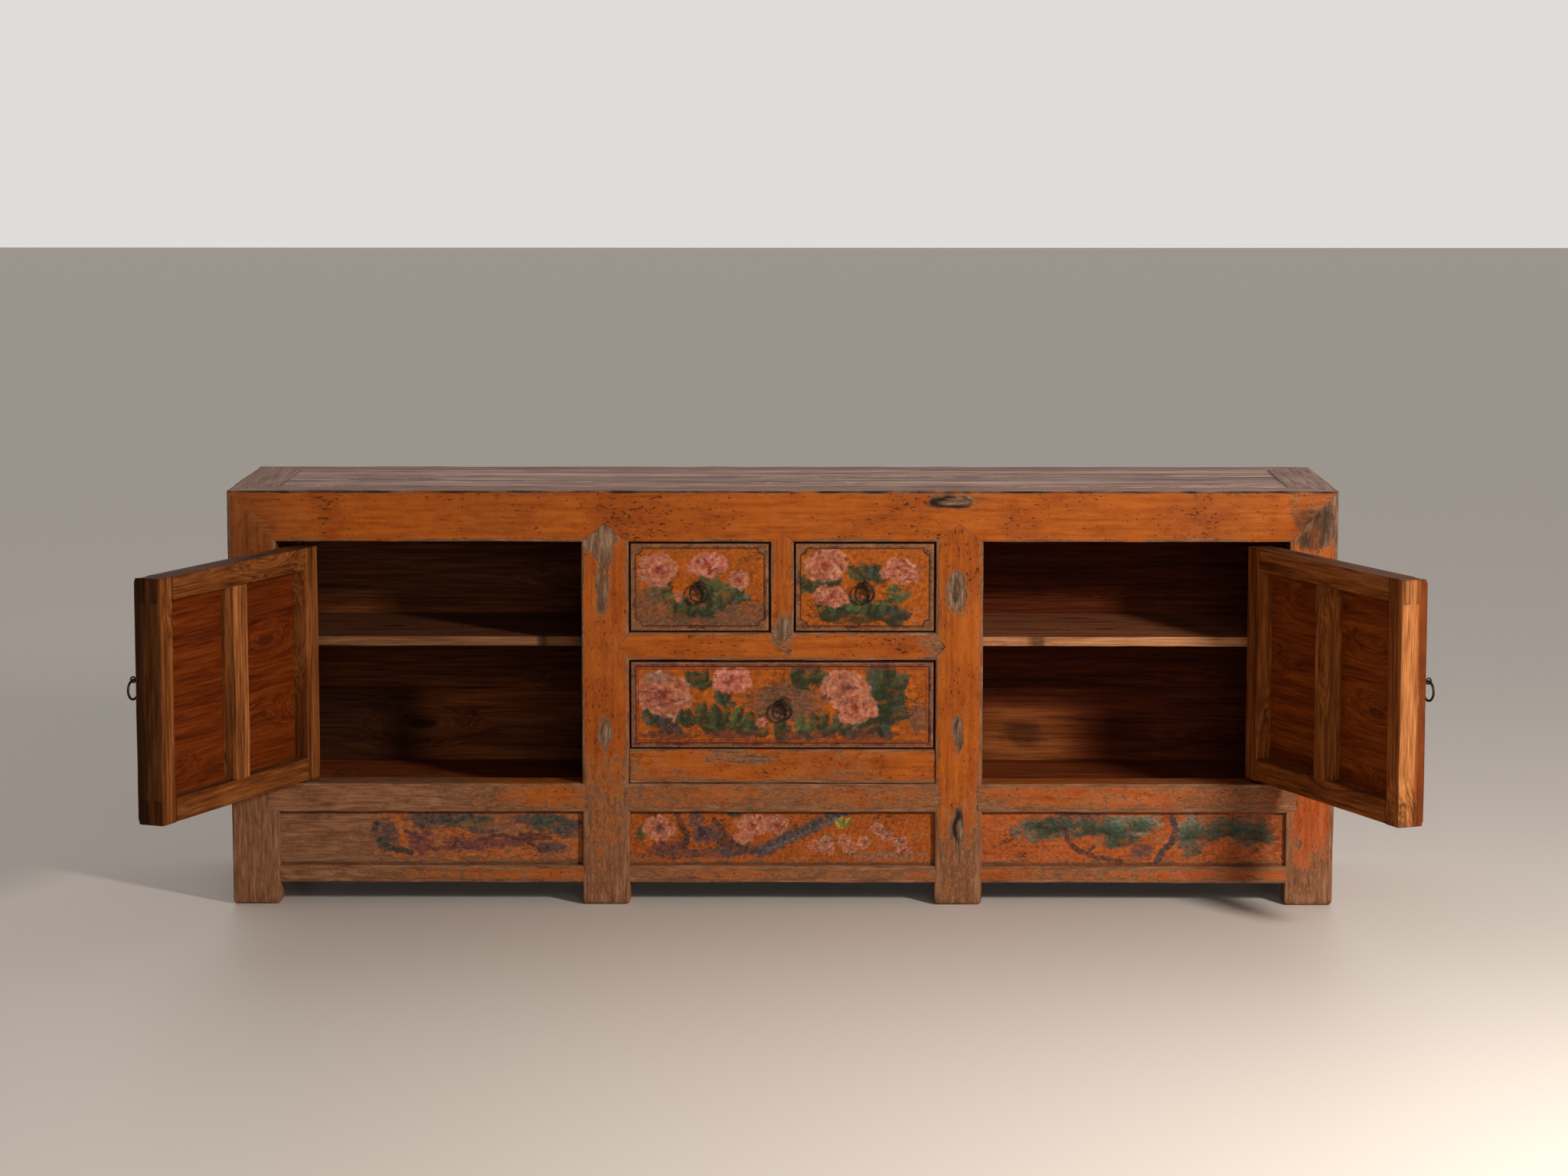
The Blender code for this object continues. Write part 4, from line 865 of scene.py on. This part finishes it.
# Insides: side panels lacquered outside and bare inside, and the floors and shelves of the two door bays.
# The shelves' front edges are pale bare wood with a few knots. Uprights and drawer boards stay as solids.
SHELF_PINE = pine_coat("pale_shelf_pine", (0.12, 0.04, 0.014), (0.3, 0.122, 0.05), (0.43, 0.195, 0.088),
                       knots=0.9, gloss=0.45)
DULL_TOP, SIDE_SEAM, SIDE_GAP, OUTER_PART = np.array([1.04, 0.85, 0.85]), 0.372, 0.001, 0.002
# The right shelf's tone is lighter than the left's: painted light and shade between the bays.
FLOOR_TONE, SHELF_TONE_AND_SHADING = (1.1, 1.5), {"left": (0.36, 0.5), "right": (0.72, 1.05)}


def shelf_tone(points, front, flat, face):
    """Tone of a floor or shelf: flat on top and face on its front edge, which has a knot here and there."""
    y = points[:, 1]
    tone = blend(DULL_TOP * flat, face, smooth(front + 0.003, front + 0.0005, y))
    knots = np.maximum(spot(points, 0.487, 0.495, 0.015, 0.03), spot(points, -0.459, 0.495, 0.008, 0.03))
    return tone * (1 - 0.62 * smooth(front + 0.006, front + 0.002, y) * knots)[:, None]


for side, s in SIDES:
    low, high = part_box(f"side_panel_{side}")
    outer = (low.x + high.x) / 2 + s * OUTER_PART
    for k, (z0, z1) in enumerate(((low.z, SIDE_SEAM), (SIDE_SEAM + SIDE_GAP, high.z))):
        board(f"side_board_{side}_{k + 1}", (low.x, low.y, z0), (high.x, high.y, z1), 1, "cabinet",
              f"side_panel_{side}", STAINED, "stained_inner_pine", radius=0.0015, pitch=0.008,
              seed=101 + 3 * k + s,
              coat=lambda p: np.where(s * (p[:, 0] - outer) > 0, 0.7 + 0.22 * ripple(p, 0.16, 7), 0.0),
              tone=lambda p: np.where(s * (p[:, :1] - outer) > 0, (1.2, 1.5, 1.8), (1.0, 1.0, 1.0)))
    for name, material, tones in ((f"floor_board_{side}", STAINED, FLOOR_TONE),
                                  (f"shelf_{side}", SHELF_PINE, SHELF_TONE_AND_SHADING[side])):
        low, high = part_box(name)
        board(f"{name}_sawn", low, high, 0, "cabinet", name, material, "stained_inner_pine", pitch=0.008,
              seed=111 + s, tone=lambda p: shelf_tone(p, low.y, *tones))

solid_pine, tree = new_material("solid_pine")
place = add(tree, "ShaderNodeTexCoord", {}, "Object")
lines = speckle(stretched(place, 1, 0.05, 1), 120, 5, 0.62)
dress(shades(lines, (0.32, (0.05, 0.017, 0.007)), (0.5, (0.12, 0.042, 0.016)), (0.68, (0.2, 0.075, 0.03))),
      lines * 0.4 + 0.35, lines, 0.0008)


def leave_solid(*names):
    """Gives CAD nodes that are shown as they are the plain pine."""
    for name in names:
        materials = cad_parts[name].data.materials
        materials.clear()
        materials.append(solid_pine)


leave_solid("partition_left", "partition_right", "upper_drawer_board", "lower_drawer_board")

# Drawers: a painted front with a flat border, a cut line with hollow corners and flowers on the field,
# on a plain pine box. The field round the lower pull is rubbed down to the wood.
BORDER, BEAD = np.array([0.145, 0.054, 0.021]), np.array([0.16, 0.02, 0.012])
RIM_HIGHLIGHT, GREY_PINK = np.array([0.34, 0.16, 0.08]), np.array([0.2, 0.12, 0.09])
ROSE, WARM_ROSE = np.array([0.44, 0.11, 0.07]), np.array([0.46, 0.12, 0.08])
RED_HEART, STALK = np.array([0.36, 0.07, 0.05]), np.array([0.12, 0.09, 0.02])
BORDER_W, HOLLOW_R, LINE_W, DRAWER_PITCH = 0.0105, 0.012, 0.0024, 0.0011
EDGE_ROUND, CUT_DEPTH, FIELD_DROP, PULL_RISE, SKIN = 0.0035, 0.0013, 0.0007, 0.008, 0.0001
DRAWERS = ("upper_left_drawer", "upper_right_drawer", "lower_drawer")
drawers = {}
for number, name in enumerate(DRAWERS):
    leave_solid(f"{name}_box")
    low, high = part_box(f"{name}_front")
    art = drawers[name] = sheet_of(low, high, DRAWER_PITCH, ORANGE * (0.84, 0.86, 0.5), 130 + number)
    x, z = art.spots[..., 0], art.spots[..., 1]
    across, up = np.minimum(x - low.x, high.x - x), np.minimum(z - low.z, high.z - z)
    art.edge = np.minimum(across, up)
    art.inset = art.edge - BORDER_W
    if name != "lower_drawer":
        art.inset = np.minimum(art.inset, np.hypot(across - BORDER_W, up - BORDER_W) - HOLLOW_R)

art = drawers["upper_left_drawer"]
sprays(art, (-0.222, 0.59, 2.2, 0.04), (-0.235, 0.585, 1.2, 0.036, DARK_LEAF, BRIGHT_LEAF),
       (-0.135, 0.59, 1.2, 0.05, LEAF, BRIGHT_LEAF), (-0.15, 0.575, 0.5, 0.045, DARK_LEAF, BRIGHT_LEAF),
       (-0.085, 0.59, 1.0, 0.03, DARK_LEAF, BLUE_LEAF * 1.6), (-0.21, 0.56, 0.4, 0.04),
       (-0.18, 0.556, 0.9, 0.04), (-0.15, 0.556, 0.3, 0.04), (-0.12, 0.562, 0.8, 0.036),
       (-0.105, 0.58, 0.2, 0.03))
wash(art, -0.165, 0.555, 0.065, 0.012, DARK_LEAF, 0.8, 3)
peony(art, -0.236, 0.645, 0.041, 0.033, 401)
peony(art, -0.142, 0.655, 0.042, 0.024, 402, CRIMSON, ROSE)
peony(art, -0.082, 0.625, 0.022, 0.019, 403)
peony(art, -0.194, 0.594, 0.013, 0.011, 404)
line(art, [(-0.1, 0.578), (-0.065, 0.586), (-0.04, 0.584)], 0.0022, DARK_LEAF)
wash(art, -0.07, 0.554, 0.065, 0.032, DULL, 0.85, 21)
wash(art, -0.255, 0.568, 0.048, 0.048, DULL, 0.8, 22)
wash(art, -0.16, 0.54, 0.13, 0.017, DULL, 0.8, 23)
wear_spot(art, -0.075, 0.549, 0.045, 0.02, 0.2)
wear_spot(art, -0.262, 0.556, 0.022, 0.038, 0.16)

art = drawers["upper_right_drawer"]
sprays(art, (0.052, 0.6, 1.8, 0.036), (0.075, 0.616, 0.3, 0.04, DARK_LEAF, BLUE_LEAF),
       (0.155, 0.625, 1.6, 0.042), (0.17, 0.625, 0.8, 0.034, DARK_LEAF, BLUE_LEAF),
       (0.215, 0.588, 1.4, 0.034, LEAF, BRIGHT_LEAF), (0.205, 0.59, 0.6, 0.03, LEAF, BRIGHT_LEAF),
       (0.07, 0.56, 0.6, 0.042), (0.1, 0.556, 1.0, 0.042), (0.13, 0.558, 0.7, 0.044, LEAF, BRIGHT_LEAF),
       (0.16, 0.556, 0.9, 0.042), (0.19, 0.556, 0.4, 0.04), (0.215, 0.552, 0.9, 0.03, DARK_LEAF, SLATE))
wash(art, 0.145, 0.553, 0.085, 0.013, DARK_LEAF, 0.8, 4)
peony(art, 0.082, 0.653, 0.046, 0.032, 411)
peony(art, 0.094, 0.593, 0.038, 0.02, 412)
peony(art, 0.224, 0.643, 0.04, 0.028, 413, RED_HEART)
line(art, [(0.17, 0.582), (0.2, 0.58), (0.235, 0.572)], 0.0022, STALK)
line(art, [(0.21, 0.572), (0.235, 0.556)], 0.002, DARK_LEAF)
wear_spot(art, 0.262, 0.552, 0.022, 0.022, 0.25)

art = drawers["lower_drawer"]
wash(art, 0.006, 0.39, 0.08, 0.046, DULL, 0.95, 5)
wash(art, 0.262, 0.36, 0.024, 0.034, DULL, 0.85, 6)
sprays(art, (-0.165, 0.418, 1.2, 0.036), (-0.15, 0.425, 2.2, 0.034),
       (-0.115, 0.385, 1.0, 0.032, DARK_LEAF, BLUE_LEAF), (0.015, 0.442, 0.0, 0.045),
       (0.05, 0.44, 0.2, 0.044), (-0.25, 0.345, 1.2, 0.042, DARK_LEAF, BLUE_LEAF),
       (-0.225, 0.34, 0.7, 0.044, SLATE * 0.4, SLATE), (-0.195, 0.348, 1.0, 0.042),
       (-0.16, 0.35, 0.6, 0.046), (-0.125, 0.342, 0.9, 0.044),
       (-0.095, 0.345, 0.4, 0.046, DARK_LEAF, BRIGHT_LEAF), (-0.06, 0.335, 0.8, 0.04),
       (-0.015, 0.332, 0.3, 0.04), (0.03, 0.332, 0.6, 0.042, LEAF, BRIGHT_LEAF), (0.065, 0.335, 0.9, 0.042),
       (0.105, 0.335, 0.6, 0.042, DARK_LEAF, BLUE_LEAF),
       (0.145, 0.338, 0.9, 0.042, DARK_LEAF, BLUE_LEAF * 1.3), (0.18, 0.335, 0.5, 0.04, DARK_LEAF, SLATE))
washes(art, 0.75, *((x, 0.328, 0.06, 0.01, MAUVE * 0.6) for x in (-0.22, -0.1, 0.05, 0.17)))
leaf_spray(art, 0.172, 0.402, 0.0, 0.075, 431, DARK_LEAF, BLUE_LEAF, 7, 2.6)
leaf_spray(art, 0.185, 0.42, 0.6, 0.05, 432, DARK_LEAF, LEAF, 4, 1.8)
peony(art, -0.226, 0.405, 0.056, 0.042, 421)
wash(art, -0.24, 0.438, 0.034, 0.012, GREY_PINK, 0.6, 24)
for path in ([(-0.26, 0.395), (-0.23, 0.402), (-0.2, 0.392)],
             [(-0.25, 0.382), (-0.215, 0.39), (-0.185, 0.398)], [(-0.235, 0.412), (-0.205, 0.408)]):
    line(art, path, 0.0035, MAUVE)
peony(art, -0.096, 0.434, 0.043, 0.026, 423, CRIMSON, WARM_ROSE)
peony(art, 0.12, 0.418, 0.048, 0.036, 424, MAUVE)
peony(art, 0.14, 0.378, 0.044, 0.03, 425)
peony(art, -0.041, 0.352, 0.012, 0.01, 426)
wear_spot(art, 0.006, 0.392, 0.055, 0.03, 0.14)
wear_spot(art, -0.262, 0.325, 0.02, 0.02, 0.2)

pulls = []
for name, art in drawers.items():
    low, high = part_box(f"{name}_front")
    crumble(art, reach=0.0016)
    edge, inset, spots = art.edge, art.inset, art.spots
    border = smooth(0.0006, -0.0006, inset)
    tint = BORDER * (1 + 0.35 * ripple(spots, 0.03, 9) + 0.2 * ripple(spots, 0.008, 10))[..., None]
    if name == "lower_drawer":
        tint = tint * (0.85, 0.6, 0.55)
    art.paint = blend(art.paint, np.clip(tint, 0.02, 0.5), border)
    # A pale line round the rounded edge: a painted highlight, with a little wear.
    rim = bell(edge, 0.0032, 0.001)
    art.paint = blend(art.paint, RIM_HIGHLIGHT, rim * (0.55 + 0.3 * ripple(spots, 0.04, 12)))
    if name == "lower_drawer":
        art.paint = blend(art.paint, BEAD, 0.8 * bell(inset, 0.004, 0.0015))
    art.wear += 0.22 * border + 0.12 * rim + 0.04 * ripple(spots, 0.05, 11)
    cut = bell(inset, -0.0005, LINE_W / 2)
    hidden = EDGE_ROUND * (1 - np.sqrt(1 - np.clip(1 - edge / EDGE_ROUND, 0, 1) ** 2))
    hidden += CUT_DEPTH * cut + FIELD_DROP * smooth(-0.001, 0.002, inset)
    pull_x, pull_z = (low.x + high.x) / 2, (low.z + high.z) / 2 + PULL_RISE
    pulls.append((name, pull_x, low.y, pull_z, stay))
    from_pull = np.hypot(spots[..., 0] - pull_x, (spots[..., 1] - pull_z + 0.012) * 0.8)
    # Painted shade: a dark band round the front's edge for the shadow in the gap; the cut line is dark,
    # partly grime and partly painted shade.
    art.grime = np.maximum(0.92 * cut, 0.9 * smooth(0.0024, 0.0006, edge))
    # Round the pull the face is darkened: hand grime and the ring's painted shadow.
    smudge_and_ring_shadow = smooth(0.021, 0.009, from_pull + 0.004 * ripple(spots, 0.012, 15))
    art.grime = np.maximum(art.grime, 0.88 * smudge_and_ring_shadow)
    painted_board(f"{name}_painted_front", art, low.y + SKIN + hidden, high.y, name, f"{name}_front")

# Doors: pine frames with a thin panel and a batten, bare amber wood inside and red lacquer outside.
# The rails' twin tenons show as end grain on the free edge. Each door hangs on two pegs of its hinge stile.
DOOR_PINE = pine_coat("amber_door_pine", (0.055, 0.012, 0.002), (0.16, 0.045, 0.009), (0.29, 0.098, 0.025),
                      knots=0.7, gloss=0.45)
PANEL_PINE = pine_coat("red_brown_panel_pine", (0.045, 0.006, 0.001), (0.105, 0.016, 0.001),
                       (0.165, 0.03, 0.003), knots=0.5, gloss=0.45)
DOOR_OPEN, PIVOT_X, PIVOT_Y = math.radians(112.5), 0.9265, 0.02999
DOOR_W, DOOR_EDGE, DOOR_FACE, DOOR_INNER, DOOR_ROUND = 0.5705, 0.028, -0.02, 0.036, 0.01
DOOR_FOOT, DOOR_HEAD, STILE_W, DOOR_RAIL_H = 0.242, 0.6865, 0.046, 0.043
TENON_Y, TENON_T = (0.0205, -0.0065), 0.0115
GROOVE, PANEL_FACE, PANEL_SPLIT, PANEL_BACK = 0.006, DOOR_FACE + 0.012, DOOR_FACE + 0.0185, DOOR_FACE + 0.027
BATTEN_HALF, BATTEN_FACE, DOOR_PULL_IN, DOOR_PULL_Z = 0.025, DOOR_FACE + 0.0195, 0.02, DOOR_FOOT + 0.258
DUSTY_HEAD, PANEL_PITCH = np.array([0.62, 0.72, 1.2]), 0.0016


def hang_door(side, s, wrap, frame_tone_and_shading, edge_tone_and_shading, panel_tone_and_shading, batten_tone):
    """One door, made shut with its pivot at the origin and then swung open. The lacquer wraps round its
    edges as far as y = wrap, and each tone is a share of the pine's colour. The frame, edge and panel tones
    also carry painted light and shade: the right door is lightened and the left door's free edge darkened."""
    body = f"{side}_door"
    edge_x, free_x = s * DOOR_EDGE, s * (DOOR_EDGE - DOOR_W)
    hinge_in, free_in = edge_x - s * STILE_W, free_x + s * STILE_W
    cos, sin = math.cos(s * DOOR_OPEN), math.sin(s * DOOR_OPEN)
    turn = np.array([[cos, -sin, 0], [sin, cos, 0], [0, 0, 1]])

    def swing(points):
        """Turns points of the shut door about its pivot to where it stands open."""
        return points @ turn.T + (s * PIVOT_X, PIVOT_Y, 0)

    def eased(points):
        """Rounds the door's outer arrises to DOOR_ROUND: within that square a point is drawn in by its
        larger share over its distance from the square's inner corner. Then the door is swung open."""
        points = points.copy()
        v = np.clip(1 - (points[:, 1] - DOOR_FACE) / DOOR_ROUND, 0, 1)
        for k, first, last in ((2, DOOR_FOOT, DOOR_HEAD), (0, *sorted((edge_x, free_x)))):
            from_first, from_last = points[:, k] - first, last - points[:, k]
            u = np.clip(1 - np.minimum(from_first, from_last) / DOOR_ROUND, 0, 1)
            shrink = 1 - np.maximum(u, v) / np.maximum(np.hypot(u, v), 1e-9)
            points[:, k] += np.where(from_first < from_last, 1, -1) * DOOR_ROUND * u * shrink
            points[:, 1] += DOOR_ROUND * v * shrink
        return swing(points)

    def outer_coat(points):
        """Lacquer on the outer face and a little way round the edges, but rubbed off along the head."""
        depth = points[:, 1] + 0.0015 * ripple(points, 0.05, 3)
        head = smooth(DOOR_HEAD - 0.001, DOOR_HEAD - 0.006, points[:, 2])
        return (0.74 + 0.2 * ripple(points, 0.12, 13)) * smooth(wrap, wrap - 0.008, depth) * head

    def stile_tone(points):
        """Tone of a stile: on the free edge the tenons' ends are darker, each inside a thin dark line."""
        x, y, z = points.T
        inside = np.full(len(points), -1.0)
        for first in TENON_Y:
            inside = np.maximum(inside, np.minimum(y - first, first + TENON_T - y))
        inside = np.minimum(inside, DOOR_RAIL_H - np.minimum(z - DOOR_FOOT, DOOR_HEAD - z))
        ends = (1 - 0.35 * smooth(0.0, 0.0015, inside)) * (1 - 0.65 * bell(inside, 0, 0.0014))
        return blend(frame_tone_and_shading, ends[:, None] * edge_tone_and_shading, smooth(0.006, 0.0005, abs(x - free_x)))

    def rail_tone(points):
        """Tone of a rail: dusty and dull on the door's top edge."""
        return blend(frame_tone_and_shading, DUSTY_HEAD, smooth(DOOR_HEAD - 0.002, DOOR_HEAD - 0.0005, points[:, 2]))

    def free_dirt(points):
        """Dirt from hands on the outer part of the free stile."""
        return 0.62 * smooth(0.005, -0.003, points[:, 1]) * smooth(0.45, 0.53, abs(points[:, 0]))

    frame_look = {"material": DOOR_PINE, "slot": "door_pine", "coat": outer_coat, "turn": eased}
    for label, x0, x1, late in (("hinge_stile", edge_x, hinge_in, 0), ("free_stile", free_x, free_in, 7)):
        board(f"{body}_{label}_pine", (x0, DOOR_FACE, DOOR_FOOT), (x1, DOOR_INNER, DOOR_HEAD), 2, body,
              f"{body}_{label}", pitch=0.0025, worn=0.0008, tone=stile_tone, dirt=free_dirt,
              seed=141 + s + late, **frame_look)
    inner_x = sorted((hinge_in, free_in))
    for label, z0, late in (("top", DOOR_HEAD - DOOR_RAIL_H, 5), ("bottom", DOOR_FOOT, 0)):
        board(f"{body}_{label}_rail_pine", (inner_x[0] + SEAM, DOOR_FACE, z0),
              (inner_x[1] - SEAM, DOOR_INNER, z0 + DOOR_RAIL_H), 0, body, f"{body}_{label}_rail",
              pitch=0.0035, worn=0.0006, tone=rail_tone, seed=151 + s + late, **frame_look)

    x0, x1 = inner_x[0] - GROOVE, inner_x[1] + GROOVE
    z0, z1 = DOOR_FOOT + DOOR_RAIL_H - GROOVE, DOOR_HEAD - DOOR_RAIL_H + GROOVE
    art = sheet_of((x0, 0, z0), (x1, 0, z1), PANEL_PITCH, ORANGE, 160 + s)
    for k, (dx, z) in enumerate(((-0.13, 0.56), (0.11, 0.58), (-0.02, 0.47), (0.15, 0.42), (-0.15, 0.4))):
        x = (x0 + x1) / 2 + dx
        leaf_spray(art, x, z - 0.03, 4.2 + 0.5 * k, 0.085, 500 + k, DARK_LEAF, LEAF, 5, 2.6)
        leaf_spray(art, x, z + 0.02, 0.6 * k, 0.08, 510 + k, DARK_LEAF, BLUE_LEAF, 3, 1.8)
        peony(art, x, z, 0.062, 0.05, 520 + k)
    for k in range(9):
        leaf_spray(art, x0 + 0.05 + 0.045 * k, 0.315, 1.2 + 0.2 * (k % 3), 0.06, 540 + k)
    crumble(art)
    art.wear += 0.1 + 0.15 * smooth(0.36, 0.29, art.spots[..., 1]) + 0.08 * ripple(art.spots, 0.2, 12)
    painted_board(f"{body}_painted_panel", art, PANEL_FACE, PANEL_SPLIT, body, f"{body}_panel", swing)
    board(f"{body}_panel_pine", (x0, PANEL_SPLIT + SKIN, z0), (x1, PANEL_BACK, z1), 0, body, f"{body}_panel",
          PANEL_PINE, "door_pine", radius=0.001, pitch=0.006, tone=panel_tone_and_shading, turn=swing, seed=171 + s)
    middle = (edge_x + free_x) / 2
    board(f"{body}_batten_pine", (middle - BATTEN_HALF, BATTEN_FACE, DOOR_FOOT + DOOR_RAIL_H),
          (middle + BATTEN_HALF, DOOR_INNER - 2 * SKIN, DOOR_HEAD - DOOR_RAIL_H), 2, body,
          f"{body}_panel", DOOR_PINE, "door_pine", radius=0.003, pitch=0.005, tone=batten_tone, turn=swing,
          seed=181 + s)
    pulls.append((body, free_x + s * DOOR_PULL_IN, DOOR_FACE, DOOR_PULL_Z, swing))


# Painted shade darkens the left door's free edge; painted light lightens the right door's frame, edge and
# panel.
hang_door("left", -1, wrap=-0.01, frame_tone_and_shading=np.array([0.84, 0.82, 0.78]), edge_tone_and_shading=0.42, panel_tone_and_shading=0.95,
          batten_tone=(1.36, 1.5, 1.75))
hang_door("right", 1, wrap=0.006, frame_tone_and_shading=np.array([1.2, 1.1, 0.95]),
          edge_tone_and_shading=np.array([1.5, 1.71, 2.1]), panel_tone_and_shading=(1.58, 1.85, 1.7), batten_tone=(1.28, 1.28, 1.15))

# Pulls: a forged ring hangs in a split-pin eye on each door and drawer; the pin is driven into the wood.
# Ring and pin are round iron wire, black with scale and browned here and there by rust.
IRON, tree = new_material("forged_iron")
scale_marks = speckle(add(tree, "ShaderNodeTexCoord", {}, "Object"), 500, 5, 0.6)
scale_colour = shades(scale_marks, (0.3, (0.012, 0.01, 0.009)), (0.6, (0.045, 0.036, 0.03)),
                      (0.8, (0.1, 0.055, 0.03)))
dress(scale_colour, scale_marks * 0.5 + 0.2, scale_marks, 0.0004)
tree.nodes["Principled BSDF"].inputs["Metallic"].default_value = 0.85
RING_R, RING_WIRE, RING_HANG, EYE_R, EYE_WIRE = 0.0175, 0.00238, 0.0004, 0.005, 0.0017
STANDOFF, SHANK_R, SHANK_IN, SHANK_SIDES = 0.013, 0.0029, 0.004, 12
ACROSS, INTO, UP = np.eye(3)


def wire_ring(middle, first, second, radius, wire, steps, sides):
    """A torus: middle + (radius + wire cos v) (first cos t + second sin t) + wire sin v times their cross
    product, with the wire hammered a little thinner here and there."""
    full = 2 * np.pi
    t, v = np.meshgrid(full * np.arange(steps) / steps, full * np.arange(sides) / sides, indexing="ij")
    thick = wire * (0.96 + 0.04 * np.sin(5 * t + 2 * np.sin(2 * t)) * np.cos(3 * v))
    out = first * np.cos(t)[..., None] + second * np.sin(t)[..., None]
    points = middle + out * (radius + thick * np.cos(v))[..., None]
    points = points + np.cross(first, second) * (thick * np.sin(v))[..., None]
    index = np.arange(steps * sides).reshape(steps, sides)
    on = np.roll(index, -1, 0)
    faces = np.stack([index, on, np.roll(on, -1, 1), np.roll(index, -1, 1)], -1).reshape(-1, 4)
    return points.reshape(-1, 3), faces.tolist()


for owner, x, face_y, z, turn in pulls:
    eye = np.array([x, face_y - STANDOFF, z])
    points, faces = wire_ring(eye - UP * (RING_R + RING_HANG), ACROSS, UP, RING_R, RING_WIRE, 48, 12)
    put(f"{owner}_forged_ring", turn(points), faces, f"{owner}_pull_ring", f"{owner}_ring", IRON,
        "forged_iron")
    points, faces = wire_ring(eye, INTO, UP, EYE_R, EYE_WIRE, 24, 10)
    around = 2 * np.pi * np.arange(SHANK_SIDES) / SHANK_SIDES
    section = np.stack([np.sin(around), np.zeros(SHANK_SIDES), np.cos(around)], -1)
    tip = STANDOFF + SHANK_IN
    reach, share = np.array([[EYE_R, EYE_R, tip, tip], [0.6, 1, 1, 0.6]])[..., None, None]
    rings = eye + INTO * reach + section * SHANK_R * share
    shank = np.concatenate([[eye + INTO * EYE_R], rings.reshape(-1, 3), [eye + INTO * tip]])
    faces += [[len(points) + k for k in face] for face in tube_faces(4, SHANK_SIDES)]
    put(f"{owner}_split_pin", turn(np.concatenate([points, shank])), faces, owner, f"{owner}_staple", IRON,
        "forged_iron")

# Studio: a pale floor, a soft window-like light from the right, weak fill, and the camera.
# The camera's place and lens come from the fit of the cabinet to the photograph.
FLOOR_HALF = 30
floor = bpy.data.objects.new("floor", bpy.data.meshes.new("floor"))
corners = [(-FLOOR_HALF, -FLOOR_HALF, 0), (FLOOR_HALF, -FLOOR_HALF, 0), (FLOOR_HALF, FLOOR_HALF, 0),
           (-FLOOR_HALF, FLOOR_HALF, 0)]
floor.data.from_pydata(corners, [], [(0, 1, 2, 3)])
bpy.context.scene.collection.objects.link(floor)
concrete, tree = new_material("pale_floor")
shader = tree.nodes["Principled BSDF"]
shader.inputs["Base Color"].default_value = (0.66, 0.58, 0.51, 1)
shader.inputs["Roughness"].default_value = 0.5
floor.data.materials.append(concrete)

world = bpy.data.worlds.new("studio")
bpy.context.scene.world = world
world.use_nodes = True
tree = world.node_tree
way = add(tree, "ShaderNodeTexCoord", {}, "Generated")
behind = between(add(tree, "ShaderNodeSeparateXYZ", {"Vector": way}, "Y"), -0.25, 0.65)
sky = shades(behind, (0.0, (0.13, 0.127, 0.122)), (1.0, (0.74, 0.72, 0.7)))
tree.links.new(sky.socket, tree.nodes["Background"].inputs["Color"])


def soft_light(name, place, aim, width, height, watts, colour):
    """A rectangular soft light that looks at a point."""
    data = bpy.data.lights.new(name, "AREA")
    data.shape = "RECTANGLE"
    data.size, data.size_y, data.energy, data.color = width, height, watts, colour
    lamp = bpy.data.objects.new(name, data)
    lamp.location = place
    way = np.array(aim, float) - np.array(place, float)
    lamp.rotation_euler = (math.atan2(math.hypot(way[0], way[1]), -way[2]), 0,
                           math.atan2(way[1], way[0]) - math.pi / 2)
    bpy.context.scene.collection.objects.link(lamp)


soft_light("window_light", (2.55, -3.05, 1.9), (0.1, 0.1, 0.45), 0.4, 0.5, 158, (1.0, 0.97, 0.93))
soft_light("room_fill", (0.9, -6.5, 2.4), (0.0, 0.0, 0.45), 2.5, 2.0, 62, (1.0, 0.96, 0.9))

CAMERA_DOWN, CAMERA_LEFT = math.radians(7.137), math.radians(0.435)
camera = bpy.data.objects.new("camera", bpy.data.cameras.new("camera"))
camera.data.sensor_width = 36
camera.data.lens = 94.09
camera.location = (0.0619, FRONT - 7.692, 1.5732)
camera.rotation_euler = (math.pi / 2 - CAMERA_DOWN, 0, CAMERA_LEFT)
bpy.context.scene.collection.objects.link(camera)
bpy.context.scene.camera = camera
bpy.context.scene.view_settings.view_transform = "Standard"
